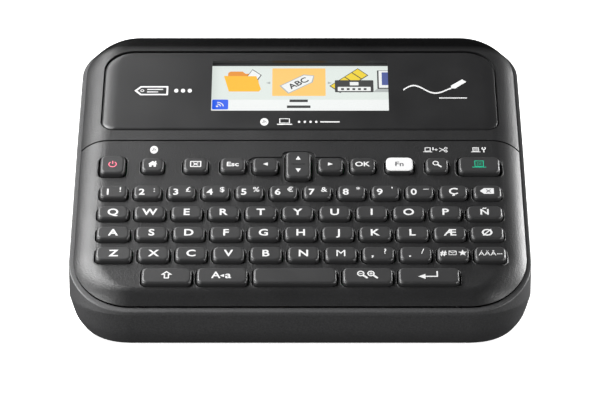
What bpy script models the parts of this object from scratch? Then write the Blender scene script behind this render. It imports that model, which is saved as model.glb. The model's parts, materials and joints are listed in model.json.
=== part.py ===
"""A desktop label maker: a wedge-shaped case with a keyboard, a colour display and a rear
cassette bay, made of separate shells, keys, boards, cells and a small print mechanism.

Every dimension here is in millimetres, and the helpers make the meshes in metres.
+X is the typist's right, +Y the back, +Z up, and the feet stand on Z = 0.
"""

import math

import bmesh
import bpy
from mathutils import Matrix, Vector

MM = 0.001
GAP = 0.35  # clearance between neighbouring pieces
CLEAR = 20.0  # how far a cutter runs on past what it cuts

# Outer form ---------------------------------------------------------------------------
CASE_HALF = 101.0  # half-width of the lower case
CASE_FRONT = -92.6
CASE_BACK = 92.0
FRONT_CORNER = 28.0  # plan radii
BACK_CORNER = 26.0
WALL = 2.2
SHELL_INSET = 2.1  # the top shells' edge stands back from the lower case
SHELL_WALL = 2.0
FOOT_HEIGHT = 1.5
DECK_SLOPE = math.radians(25)
DISPLAY_SLOPE = math.radians(22)
DECK_ORIGIN = Vector((0, -92.6, 26.0))  # front of the keyboard plane
SEAM_Y = -4.14  # where the keyboard plane meets the display plane
SEAM_Z = DECK_ORIGIN.z + (SEAM_Y - DECK_ORIGIN.y) * math.tan(DECK_SLOPE)
SHELL_BACK = 70.0
EDGE_DROP = 5.0  # how far the shells' rolled edge falls below their plane
EDGE_SIDE = 13.0  # widths of that roll, in plan
EDGE_FRONT = 4.4
EDGE_BACK = 10.0
EDGE_ANGLE = math.radians(55)
REVEAL = 0.8  # dark line between the shells and the lower case
SIDE_STATIONS = (-45.0, SEAM_Y, 30.0)
CORNER_STEPS = 5

# The lower case's walls lean in towards the base: (height, inset).
BASE_PROFILE = ((1.5, 9.0), (3.0, 7.0), (6.0, 4.6), (10.0, 2.4), (18.0, 0.0))
FLOOR_TOP = FOOT_HEIGHT + WALL
WALL_FOOT = 18.0  # height at which the walls become upright
# The rear wall rolls over to the crest: (share of the height from WALL_FOOT, rear edge).
REAR_PROFILE = ((0.0, 92.0), (0.695, 85.0), (0.82, 82.5), (0.925, 78.0), (1.0, 72.0))

# Rear cover ---------------------------------------------------------------------------
COVER_HALF = 75.0
COVER_HINGE = (89.2, 13.0)  # Y and Z of the hinge line
BARREL = 2.6
BARREL_STEPS = 8
HINGE_PIN = 1.5
HINGE_BOSS = 3.4
HINGE_BOSS_LENGTH = 4.5
HINGE_PIN_REACH = 3.0  # how far each pin stands out past the cover's end
COVER_LIP = 65.5  # the cover reaches forward to here, under the display housing
OPENING_FRONT = 64.0  # front edge of the rear opening

# Display ------------------------------------------------------------------------------
PANEL_HALF = 90.2
PANEL_LOW = 7.4
PANEL_HIGH = 63.2
PANEL_THICK = 1.3
PANEL_RADII = (6.4, 13.5)  # lower and upper corners
WINDOW_HALF = 40.6
WINDOW_LOW = 20.7
WINDOW_HIGH = 56.4
LENS_LIP = 2.2  # how far the lens reaches past the window opening
LENS_THICK = 1.1
LCD_DEPTH = 5.0

# Keys, in the plane of the keyboard: X and the distance up the slope -------------------
KEY_CLEARANCE = 0.45
KEY_STAND = 2.0  # height of a key's top above the cover
KEY_FOOT = -4.0  # underside of the key's flange
FLANGE_TOP = -SHELL_WALL - GAP - 0.3
FLANGE_LIP = 0.8  # how far a flange reaches past its opening, up and down the slope
FLANGE_SIDE = 0.3  # and towards its neighbours
WEB_END = 2.0  # a row's web stops short of its end keys' outer edges
KEY_CHAMFER = 0.7
KEY_CORNER = 2.0
FUNCTION_ROW = 80.3
FUNCTION_HEIGHT = 10.0
FUNCTION_KEYS = (
    ("key_power", -83.7, 12.1, 12.5),
    ("key_home", -65.8, 11.0, FUNCTION_HEIGHT),
    ("key_cancel", -46.6, 12.0, FUNCTION_HEIGHT),
    ("key_escape", -30.0, 12.1, FUNCTION_HEIGHT),
    ("key_left", -15.5, 12.4, FUNCTION_HEIGHT),
    ("key_right", 13.6, 12.2, FUNCTION_HEIGHT),
    ("key_ok", 28.0, 12.1, FUNCTION_HEIGHT),
    ("key_function", 44.4, 13.5, FUNCTION_HEIGHT),
    ("key_search", 61.1, 11.0, FUNCTION_HEIGHT),
    ("key_print", 80.0, 19.3, 11.0),
)
ROCKER = ("key_up_down", -0.8, 12.2, 17.8)
ROCKER_FLANGE_DROP = 0.8
BOTTOM_ROW = 11.9
BOTTOM_HEIGHT = 10.6
BOTTOM_KEYS = (
    ("key_shift", -57.6, 22.8, BOTTOM_HEIGHT),
    ("key_caps", -33.6, 23.1, BOTTOM_HEIGHT),
    ("key_space", -2.2, 37.2, BOTTOM_HEIGHT),
    ("key_zoom", 29.2, 22.7, BOTTOM_HEIGHT),
    ("key_enter", 55.6, 27.4, BOTTOM_HEIGHT),
)
# Character rows: name, place up the slope, key height, first and last key as (X, width),
# then the second key's X, the pitch and the width of the keys between.
CHARACTER_ROWS = (
    ("key_row_numbers", 63.2, 9.1, (-82.6, 13.3), (82.95, 13.3), -67.55, 15.05, 13.3),
    ("key_row_upper", 50.3, 9.0, (-82.3, 14.75), (81.2, 16.7), -66.1, 16.27, 14.75),
    ("key_row_middle", 37.7, 9.1, (-81.7, 15.7), (81.8, 15.3), -64.9, 16.3, 15.0),
    ("key_row_lower", 25.1, 9.6, (-81.0, 16.8), (82.6, 14.6), -63.6, 16.27, 14.8),
)

# Boards, in the frames of the keyboard and the display: both ends in X, up and out ---------
KEYPAD_BOARD = (-88.0, 88.0, 9.0, 90.0, -8.2, -6.6)
MAIN_BOARD = (-58.0, 86.0, 4.0, 38.0, -13.4, -11.8)

# Power ---------------------------------------------------------------------------------
CELL_RADIUS = 7.25
CELL_LENGTH = 50.5
CELL_PITCH = 15.1
CELL_COUNT = 6
CELL_Z = 11.6
CELL_FRONT = -38.0
BAY_HALF = 46.4
BAY_FRONT = -41.0
BAY_BACK = 15.5
DOOR_TRAVEL = 6.0
DOOR_LEDGE = 1.5  # how far the door reaches past the bay, all round
DOOR_THICK = 1.3
DOOR_RECESS = 3.0
DOOR_BOTTOM = 1.5
CONTACT_THICK = 1.2
CONTACT_Z = (5.0, 18.0)
CELL_SHOULDER = 1.0  # length of a cell's positive end
CELL_NOSE = 0.36  # its radius, as a share of the cell's

# Sockets in the right wall: Y, half-width, Z, half-height, depth -------------------------
USB = (44.0, 4.6, 26.0, 2.6, 8.0)
DC_INLET = (60.0, 5.0, 26.0, 5.0, 11.0)
SOCKET_WALL = 1.0
SOCKET_BACK = 2.0
SOCKET_SETBACK = 1.2  # from the outer face of the wall

# Print mechanism; its spindles all run along Y -------------------------------------------
CASSETTE_X = (-72.0, 14.0)
CASSETTE_Y = (38.5, 65.5)
CASSETTE_Z = (12.0, 74.0)
CASSETTE_WALL = 1.4
TAPE_Z = 48.2
SLOT_Y = (40.0, 64.0)
SLOT_HEIGHT = 5.6
GEAR_MODULE = 1.0
GEAR_ADDENDUM = 0.8  # the rest are in modules
GEAR_DEDENDUM = 1.2
TOOTH_TIP = 0.3  # half-width at the tip
TOOTH_ROOT = 0.75
GEAR_Y = (67.3, 70.0)
PLATEN_TEETH = 16
IDLER_TEETH = 20
PINION_TEETH = 10
PLATEN = Vector((-77.0, 0, 53.0))
IDLER = PLATEN - Vector((0, 0, (PLATEN_TEETH + IDLER_TEETH) * GEAR_MODULE / 2))
PINION_SWING = math.radians(212)  # direction from the idler to the pinion
PINION_REACH = (IDLER_TEETH + PINION_TEETH) * GEAR_MODULE / 2
PINION = IDLER + Vector((math.sin(PINION_SWING), 0, math.cos(PINION_SWING))) * PINION_REACH
ROLLER_RADIUS = 4.2
SHAFT_RADIUS = 1.5
SHAFT_TIP = GEAR_Y[1] + 0.8
FRAME_X = (-96.0, -73.0)
FRAME_Y = (65.8, 66.8)
FRAME_Z = (11.0, 62.0)
MOTOR_RADIUS = 8.0
MOTOR_Y = (41.0, 65.0)
ROLLER_LENGTH = 26.5
ROLLER_END = 65.4
BLADE_HALF = (0.4, 13.0)
BLADE_HEIGHT = 10.0
BLADE_PLACE = (-90.0, 52.0, TAPE_Z + 3.6)
HEAD_BOX = (-80.0, -73.5, 39.5, 65.0, 40.0, TAPE_Z - 0.4)
REEL_WINDOW = (-44.0, -8.0, 30.0, 56.0)  # both ends in X and Z
TAPE_WINDOW = 3.0  # half-height of the slot that the tape leaves by
HUB_RADIUS = 4.0
SPOOLS = (
    ("tape_spool", (-12.5, 43.0), 22.5),
    ("ribbon_spool", (-52.0, 59.0), 10.5),
    ("ribbon_takeup_spool", (-52.0, 27.0), 8.0),
)

# Fasteners and feet ---------------------------------------------------------------------
SCREW_PLACES = ((-70.0, -58.0), (70.0, -58.0), (-60.0, 26.0), (64.0, 62.0))
FOOT_PLACES = ((-76.0, -66.0), (76.0, -66.0), (-76.0, 72.0), (76.0, 72.0))
FOOT_RADIUS = 6.0
FOOT_SINK = 0.7
BOSS_RADIUS = 4.6
BOSS_TOP = 23.0
SCREW_HEAD = 3.0
SCREW_SEAT = 6.4

# Colours: name, colour, roughness, metallic ----------------------------------------------
MATERIALS = {
    "case": ((0.020, 0.020, 0.022), 0.48, 0.0),
    "panel": ((0.014, 0.014, 0.015), 0.30, 0.0),
    "keys": ((0.034, 0.034, 0.036), 0.50, 0.0),
    "white_key": ((0.80, 0.80, 0.80), 0.45, 0.0),
    "lens": ((0.75, 0.80, 0.80), 0.08, 0.0),
    "screen": ((0.70, 0.78, 0.68), 0.35, 0.0),
    "rubber": ((0.015, 0.015, 0.015), 0.85, 0.0),
    "steel": ((0.55, 0.55, 0.56), 0.32, 1.0),
    "board": ((0.02, 0.14, 0.06), 0.50, 0.0),
    "cell": ((0.06, 0.06, 0.07), 0.35, 0.2),
    "nylon": ((0.78, 0.77, 0.72), 0.55, 0.0),
    "cassette": ((0.10, 0.10, 0.11), 0.40, 0.0),
    "tape": ((0.85, 0.85, 0.83), 0.45, 0.0),
}


# Helpers ---------------------------------------------------------------------------------
def clear_scene():
    for obj in list(bpy.data.objects):
        bpy.data.objects.remove(obj, do_unlink=True)


def material(name):
    """The named plastic, metal or rubber, made the first time it is asked for."""
    found = bpy.data.materials.get(name)
    if found:
        return found
    colour, roughness, metallic = MATERIALS[name]
    made = bpy.data.materials.new(name)
    made.use_nodes = True
    shader = made.node_tree.nodes["Principled BSDF"]
    shader.inputs["Base Color"].default_value = (*colour, 1)
    shader.inputs["Roughness"].default_value = roughness
    shader.inputs["Metallic"].default_value = metallic
    return made


def deck_frame(x=0.0, up=0.0):
    """The frame of the keyboard plane, with its origin at X and a distance up the slope."""
    turn = Matrix.Rotation(DECK_SLOPE, 4, "X")
    return Matrix.Translation(DECK_ORIGIN) @ turn @ Matrix.Translation((x, up, 0))


def display_frame():
    turn = Matrix.Rotation(DISPLAY_SLOPE, 4, "X")
    return Matrix.Translation((0, SEAM_Y, SEAM_Z)) @ turn


def link_object(name, mesh, slot, frame=None):
    """The mesh as a named object; frame places it, and its mesh stays local."""
    bmesh.ops.scale(mesh, vec=(MM, MM, MM), verts=mesh.verts)
    data = bpy.data.meshes.new(name)
    mesh.to_mesh(data)
    mesh.free()
    obj = bpy.data.objects.new(name, data)
    bpy.context.scene.collection.objects.link(obj)
    if frame is not None:
        obj.location = frame.translation * MM
        obj.rotation_euler = frame.to_euler()
    if slot:
        data.materials.append(material(slot))
        data.shade_smooth()
        data.set_sharp_from_angle(angle=math.radians(30))
    return obj


def add_object(name, mesh, slot, frame=None):
    """One closed mesh as a named object, with its faces turned outwards."""
    bmesh.ops.recalc_face_normals(mesh, faces=mesh.faces)
    return link_object(name, mesh, slot, frame)


def boolean(target, name, mesh, operation="DIFFERENCE", frame=None):
    """Cuts the mesh out of the target, or joins it on, and keeps it as a hidden helper."""
    helper = add_object(name, mesh, None, frame)
    helper.hide_render = True
    helper.display_type = "WIRE"
    modifier = target.modifiers.new(name, "BOOLEAN")
    modifier.object = helper
    modifier.operation = operation


def loft(mesh, rings, closed=True, caps=(True, True)):
    """Skins equal rings of points with quads, and fills the first and last ring."""
    rows = [[mesh.verts.new(point) for point in ring] for ring in rings]
    count = len(rows[0])
    for low, high in zip(rows, rows[1:]):
        for i in range(count if closed else count - 1):
            j = (i + 1) % count
            mesh.faces.new((low[i], low[j], high[j], high[i]))
    if caps[0]:
        mesh.faces.new(rows[0][::-1])
    if caps[1]:
        mesh.faces.new(rows[-1])


def along(axis, a, b, c):
    """The point whose place in the outline's plane is (a, b) and along the axis is c."""
    return {"X": (c, a, b), "Y": (a, c, b), "Z": (a, b, c)}[axis]


def prism(mesh, outline, low, high, axis="Z"):
    loft(mesh, [[along(axis, a, b, c) for a, b in outline] for c in (low, high)])


def circle(centre, radius, sides=16, phase=0.0):
    angles = [phase + 2 * math.pi * i / sides for i in range(sides)]
    return [(centre[0] + radius * math.cos(t), centre[1] + radius * math.sin(t)) for t in angles]


def rod(mesh, centre, radius, low, high, axis="Z", sides=16):
    prism(mesh, circle(centre, radius, sides), low, high, axis)


def box(mesh, x0, x1, y0, y1, z0, z1):
    prism(mesh, ((x0, y0), (x1, y0), (x1, y1), (x0, y1)), z0, z1)


def rounded(x0, x1, y0, y1, low_radius, high_radius=None, steps=1):
    """A rectangle's outline with rounded corners, counter-clockwise."""
    high_radius = low_radius if high_radius is None else high_radius
    corners = (
        (x1 - low_radius, y0 + low_radius, low_radius, -90),
        (x1 - high_radius, y1 - high_radius, high_radius, 0),
        (x0 + high_radius, y1 - high_radius, high_radius, 90),
        (x0 + low_radius, y0 + low_radius, low_radius, 180),
    )
    outline = []
    for x, y, radius, start in corners:
        for i in range(steps + 1):
            angle = math.radians(start + 90 * i / steps)
            outline.append((x + radius * math.cos(angle), y + radius * math.sin(angle)))
    return outline


# Outer form ------------------------------------------------------------------------------
def top_height(y, depth=0.0):
    """Height of the keyboard or display plane at Y, moved along its normal by depth."""
    slope = DECK_SLOPE if y <= SEAM_Y else DISPLAY_SLOPE
    return SEAM_Z + (y - SEAM_Y) * math.tan(slope) + depth / math.cos(slope)


def rim_height(y):
    """Top of the lower case, just below the shells' edge, and lower round the back."""
    y = min(y, REAR_PROFILE[-1][1])
    return top_height(y, -EDGE_DROP - REVEAL - 1.7 * max(0.0, (y - 50.0) / 22.0))


def right_side(side, front, back, rear=CASE_BACK, parts=("front", "back")):
    """The plan outline's right half from front to back, inset from the lower case's widest."""
    points = []
    if "front" in parts:
        centre = (CASE_HALF - FRONT_CORNER, CASE_FRONT + FRONT_CORNER)
        for i in range(CORNER_STEPS + 1):
            angle = math.radians(90 * i / CORNER_STEPS - 90)
            points.append(
                (
                    centre[0] + (FRONT_CORNER - side) * math.cos(angle),
                    centre[1] + (FRONT_CORNER - front) * math.sin(angle),
                )
            )
    if "front" in parts and "back" in parts:
        points += [(CASE_HALF - side, y) for y in SIDE_STATIONS]
    if "back" in parts:
        centre = (CASE_HALF - BACK_CORNER, rear - BACK_CORNER)
        for i in range(CORNER_STEPS + 1):
            angle = math.radians(90 * i / CORNER_STEPS)
            points.append(
                (
                    centre[0] + (BACK_CORNER - side) * math.cos(angle),
                    centre[1] + (BACK_CORNER - back) * math.sin(angle),
                )
            )
    return points


def mirrored(points):
    """The right half joined to its mirror image, in one direction round."""
    return points + [(-x, y) for x, y in reversed(points)]


def case_ring(inset, rear, height):
    """One level of the lower case, where height gives Z from Y."""
    outline = mirrored(right_side(inset, inset, inset, rear))
    return [(x, y, height(y)) for x, y in outline]


def wall_levels(extra):
    """Rings of the upright walls from their foot to the rim, inset by extra."""
    levels = []
    for share, rear in REAR_PROFILE:
        levels.append(
            case_ring(
                extra,
                rear,
                lambda y, share=share: WALL_FOOT + share * (rim_height(y) - WALL_FOOT),
            )
        )
    return levels


def make_lower_case():
    mesh = bmesh.new()
    outer = [case_ring(inset, CASE_BACK, lambda y, z=z: z) for z, inset in BASE_PROFILE[:-1]]
    inner = [
        case_ring(inset + WALL, CASE_BACK, lambda y, z=z: max(z, FLOOR_TOP))
        for z, inset in BASE_PROFILE[1:-1]
    ]
    loft(mesh, outer + wall_levels(0.0) + wall_levels(WALL)[::-1] + inner[::-1])
    case = add_object("lower_case", mesh, "case")

    bosses = bmesh.new()
    for place in SCREW_PLACES:
        rod(bosses, place, BOSS_RADIUS, FOOT_HEIGHT + 1, BOSS_TOP, sides=12)
    for side in (-1, 1):
        start = side * (COVER_HALF + GAP)
        low, high = sorted((start, start + side * HINGE_BOSS_LENGTH))
        rod(bosses, COVER_HINGE, HINGE_BOSS, low, high, "X", 12)
    boolean(case, "boss_union", bosses, "UNION")

    opening = bmesh.new()
    reach = COVER_HALF + GAP
    box(opening, -reach, reach, OPENING_FRONT, CASE_BACK + CLEAR, COVER_HINGE[1], SEAM_Z + CLEAR * 3)
    boolean(case, "rear_opening_cut", opening)
    barrel = bmesh.new()
    rod(barrel, COVER_HINGE, BARREL + 0.5, -reach, reach, "X", 20)
    boolean(case, "hinge_cut", barrel)

    cuts = bmesh.new()
    for side in (-1, 1):
        low, high = sorted((side * (COVER_HALF - 1), side * (COVER_HALF + HINGE_PIN_REACH + 2 * GAP)))
        rod(cuts, COVER_HINGE, HINGE_PIN + GAP, low, high, "X", 10)
    for place in SCREW_PLACES:
        rod(cuts, place, SCREW_HEAD + GAP, 0, SCREW_SEAT, sides=12)
    for place in FOOT_PLACES:
        rod(cuts, place, FOOT_RADIUS + GAP, 0, FOOT_HEIGHT + FOOT_SINK, sides=16)
    ledge = BAY_HALF + DOOR_LEDGE + GAP
    back = BAY_BACK + DOOR_LEDGE + GAP + DOOR_TRAVEL
    box(cuts, -ledge, ledge, BAY_FRONT - DOOR_LEDGE - GAP, back, 0, DOOR_RECESS)
    inside = CASE_HALF - CLEAR / 2
    outside = CASE_HALF + CLEAR / 2
    box(cuts, -outside, -inside, *SLOT_Y, TAPE_Z - SLOT_HEIGHT / 2, TAPE_Z + SLOT_HEIGHT / 2)
    for y, half, z, tall, _ in (USB, DC_INLET):
        half += GAP
        tall += GAP
        box(cuts, inside, outside, y - half, y + half, z - tall, z + tall)
    boolean(case, "case_cuts", cuts)

    deep = bmesh.new()
    for place in SCREW_PLACES:
        rod(deep, place, SHAFT_RADIUS + GAP, SCREW_SEAT - 1, BOSS_TOP + 5, sides=10)
    box(deep, -BAY_HALF, BAY_HALF, BAY_FRONT, BAY_BACK, 0, FLOOR_TOP + 1)
    boolean(case, "through_cuts", deep)


def shell_rings(parts, seam, widths):
    """Open rings of a top shell: from its edge inwards, ending square at the seam."""
    rings = []
    for share in (0.0, 0.22, 0.5, 0.78, 1.0):
        lean = (1 - share) * math.sin(EDGE_ANGLE)
        drop = EDGE_DROP * (1 - math.sqrt(1 - lean**2)) / (1 - math.cos(EDGE_ANGLE))
        side, front, back = (SHELL_INSET + share * width for width in widths)
        half = right_side(side, front, back, SHELL_BACK + SHELL_INSET, parts)
        if "front" in parts:
            half += [(CASE_HALF - side, SIDE_STATIONS[0]), (CASE_HALF - side, seam)]
            outline = mirrored(half[::-1])
        else:
            half = [(CASE_HALF - side, seam)] + half
            outline = mirrored(half)
        rings.append([(x, y, top_height(y, -drop)) for x, y in outline])
    return rings


def make_shell(name, parts, seam):
    """A thin top shell: its outer skin turned upwards, then thickened inwards."""
    mesh = bmesh.new()
    loft(mesh, shell_rings(parts, seam, (EDGE_SIDE, EDGE_FRONT, EDGE_BACK)), False, (False, True))
    bmesh.ops.recalc_face_normals(mesh, faces=mesh.faces)
    if sum(face.normal.z for face in mesh.faces) < 0:
        bmesh.ops.reverse_faces(mesh, faces=mesh.faces)
    shell = link_object(name, mesh, "case")
    thicken = shell.modifiers.new("wall", "SOLIDIFY")
    thicken.thickness = SHELL_WALL * MM
    thicken.offset = -1
    thicken.use_even_offset = True
    return shell


def row_keys(row):
    """(X, width) of each key in a character row."""
    _, _, _, first, last, second, pitch, width = row
    middle = []
    x = second
    while x < last[0] - pitch / 2:
        middle.append((x, width))
        x += pitch
    return [first, *middle, last]


def apertures():
    """(X, place up the slope, width, height) of every opening in the keyboard cover."""
    found = [(x, FUNCTION_ROW, width, tall) for _, x, width, tall in FUNCTION_KEYS]
    found.append((ROCKER[1], FUNCTION_ROW, *ROCKER[2:]))
    found += [(x, BOTTOM_ROW, width, tall) for _, x, width, tall in BOTTOM_KEYS]
    for row in CHARACTER_ROWS:
        found += [(x, row[1], width, row[2]) for x, width in row_keys(row)]
    return found


def make_keyboard_cover():
    cover = make_shell("keyboard_cover", ("front",), SEAM_Y - GAP / 2)
    holes = bmesh.new()
    for x, up, width, tall in apertures():
        outline = rounded(x - width / 2, x + width / 2, up - tall / 2, up + tall / 2, KEY_CORNER)
        prism(holes, outline, -8, 4)
    boolean(cover, "key_holes", holes, frame=deck_frame())


def make_display_housing():
    housing = make_shell("display_housing", ("back",), SEAM_Y + GAP / 2)
    pocket = bmesh.new()
    half = PANEL_HALF + GAP
    outline = rounded(-half, half, PANEL_LOW - GAP, PANEL_HIGH + GAP, *PANEL_RADII, 3)
    prism(pocket, outline, -PANEL_THICK - GAP, 6)
    boolean(housing, "panel_pocket", pocket, frame=display_frame())
    hole = bmesh.new()
    lip = LENS_LIP + GAP
    box(hole, -WINDOW_HALF - lip, WINDOW_HALF + lip, WINDOW_LOW - lip, WINDOW_HIGH + lip, -6, 3)
    boolean(housing, "lens_hole", hole, frame=display_frame())


# Display ---------------------------------------------------------------------------------
def make_display():
    panel = bmesh.new()
    outline = rounded(-PANEL_HALF, PANEL_HALF, PANEL_LOW, PANEL_HIGH, *PANEL_RADII, 3)
    prism(panel, outline, -PANEL_THICK, 0)
    plate = add_object("display_panel", panel, "panel", display_frame())
    hole = bmesh.new()
    box(hole, -WINDOW_HALF, WINDOW_HALF, WINDOW_LOW, WINDOW_HIGH, -4, 4)
    boolean(plate, "window_cut", hole, frame=display_frame())

    low, high = WINDOW_LOW - LENS_LIP, WINDOW_HIGH + LENS_LIP
    half = WINDOW_HALF + LENS_LIP
    top = -PANEL_THICK - GAP
    lens = bmesh.new()
    box(lens, -half, half, low, high, top - LENS_THICK, top)
    add_object("display_window", lens, "lens", display_frame())
    module = bmesh.new()
    top -= LENS_THICK + GAP
    box(module, -half - 3, half + 3, low - 3, high + 3, top - LCD_DEPTH, top)
    add_object("lcd_module", module, "screen", display_frame())


def make_boards():
    board = bmesh.new()
    box(board, *MAIN_BOARD)
    add_object("main_board", board, "board", display_frame())
    keypad = bmesh.new()
    box(keypad, *KEYPAD_BOARD)
    add_object("keypad_board", keypad, "board", deck_frame())
    for name, (y, half, z, tall, depth) in (("usb_socket", USB), ("power_socket", DC_INLET)):
        body = bmesh.new()
        face = CASE_HALF - SOCKET_SETBACK
        box(body, face - depth, face, y - half, y + half, z - tall, z + tall)
        socket = add_object(name, body, "steel")
        mouth = bmesh.new()
        half -= SOCKET_WALL
        tall -= SOCKET_WALL
        box(mouth, face - depth + SOCKET_BACK, face + CLEAR, y - half, y + half, z - tall, z + tall)
        boolean(socket, name + "_mouth", mouth)


# Keys ------------------------------------------------------------------------------------
def key_cap(mesh, x, width, tall, foot):
    """A key's cap about the row's centre line, with a bevelled top edge."""
    width -= 2 * KEY_CLEARANCE
    tall -= 2 * KEY_CLEARANCE
    rings = []
    for inset, height in ((0, foot), (0, KEY_STAND - KEY_CHAMFER), (KEY_CHAMFER, KEY_STAND)):
        half = width / 2 - inset
        deep = tall / 2 - inset
        outline = rounded(x - half, x + half, -deep, deep, KEY_CORNER - inset / 2)
        rings.append([(a, b, height) for a, b in outline])
    loft(mesh, rings)


def make_key(name, x, up, width, tall, slot="keys", flange_top=FLANGE_TOP):
    """One key in its own frame, whose origin is at the key's centre on the cover's face."""
    mesh = bmesh.new()
    half = width / 2 - KEY_CLEARANCE
    deep = tall / 2 - KEY_CLEARANCE
    lips = (KEY_CLEARANCE + FLANGE_SIDE, KEY_CLEARANCE + FLANGE_LIP)
    rings = []
    levels = (
        (lips, KEY_FOOT),
        (lips, flange_top),
        ((0, 0), flange_top),
        ((0, 0), KEY_STAND - KEY_CHAMFER),
        ((-KEY_CHAMFER, -KEY_CHAMFER), KEY_STAND),
    )
    for (side, up_down), height in levels:
        wide, high = half + side, deep + up_down
        outline = rounded(-wide, wide, -high, high, KEY_CORNER + side / 2)
        rings.append([(a, b, height) for a, b in outline])
    loft(mesh, rings)
    add_object(name, mesh, slot, deck_frame(x, up))


def make_keys():
    for name, x, width, tall in FUNCTION_KEYS:
        slot = "white_key" if name == "key_function" else "keys"
        make_key(name, x, FUNCTION_ROW, width, tall, slot)
    name, x, width, tall = ROCKER
    make_key(name, x, FUNCTION_ROW, width, tall, flange_top=FLANGE_TOP - ROCKER_FLANGE_DROP)
    for name, x, width, tall in BOTTOM_KEYS:
        make_key(name, x, BOTTOM_ROW, width, tall)
    for row in CHARACTER_ROWS:
        name, up, tall = row[:3]
        keys = row_keys(row)
        web = bmesh.new()
        left = keys[0][0] - keys[0][1] / 2
        right = keys[-1][0] + keys[-1][1] / 2
        reach = tall / 2 + FLANGE_LIP
        box(web, left + WEB_END, right - WEB_END, -reach, reach, KEY_FOOT, FLANGE_TOP)
        strip = add_object(name, web, "keys", deck_frame(0, up))
        caps = bmesh.new()
        for x, width in keys:
            key_cap(caps, x, width, tall, FLANGE_TOP - 0.4)
        boolean(strip, name + "_caps", caps, "UNION", deck_frame(0, up))


# Power -----------------------------------------------------------------------------------
def make_power():
    for i in range(CELL_COUNT):
        x = (i - (CELL_COUNT - 1) / 2) * CELL_PITCH
        cell = bmesh.new()
        nose = CELL_RADIUS * CELL_NOSE
        levels = (
            (CELL_RADIUS, 0),
            (CELL_RADIUS, CELL_LENGTH - CELL_SHOULDER),
            (nose, CELL_LENGTH - CELL_SHOULDER),
            (nose, CELL_LENGTH),
        )
        rings = [
            [(a, CELL_FRONT + y, b) for a, b in circle((x, CELL_Z), radius, 14)]
            for radius, y in levels
        ]
        loft(cell, rings)
        add_object(f"battery_cell_{i + 1}", cell, "cell")
    contacts = bmesh.new()
    back = CELL_FRONT + CELL_LENGTH
    half = BAY_HALF - 1
    box(contacts, -half, half, back + GAP, back + GAP + CONTACT_THICK, *CONTACT_Z)
    add_object("battery_contacts", contacts, "steel")
    door = bmesh.new()
    half = BAY_HALF + DOOR_LEDGE
    low, high = BAY_FRONT - DOOR_LEDGE, BAY_BACK + DOOR_LEDGE
    box(door, -half, half, low, high, DOOR_BOTTOM, DOOR_BOTTOM + DOOR_THICK)
    add_object("battery_door", door, "case")


# Print mechanism ---------------------------------------------------------------------------
def gear_outline(teeth, phase):
    """Teeth with straight flanks and play between them, about the origin of the XZ plane."""
    pitch = teeth * GEAR_MODULE / 2
    root = pitch - GEAR_DEDENDUM * GEAR_MODULE
    tip = pitch + GEAR_ADDENDUM * GEAR_MODULE
    tooth = ((root, -TOOTH_ROOT), (tip, -TOOTH_TIP), (tip, TOOTH_TIP), (root, TOOTH_ROOT))
    outline = []
    for i in range(teeth):
        middle = phase + 2 * math.pi * i / teeth
        for radius, half in tooth:
            angle = middle + half * GEAR_MODULE / pitch
            outline.append((radius * math.cos(angle), radius * math.sin(angle)))
    return outline


def make_gear(name, centre, teeth, phase, bore):
    mesh = bmesh.new()
    prism(mesh, gear_outline(teeth, phase), *GEAR_Y, "Y")
    gear = add_object(name, mesh, "nylon", Matrix.Translation(centre))
    hole = bmesh.new()
    rod(hole, (0, 0), bore, GEAR_Y[0] - 2, GEAR_Y[1] + 2, "Y", 10)
    boolean(gear, name + "_bore", hole, frame=Matrix.Translation(centre))


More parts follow.
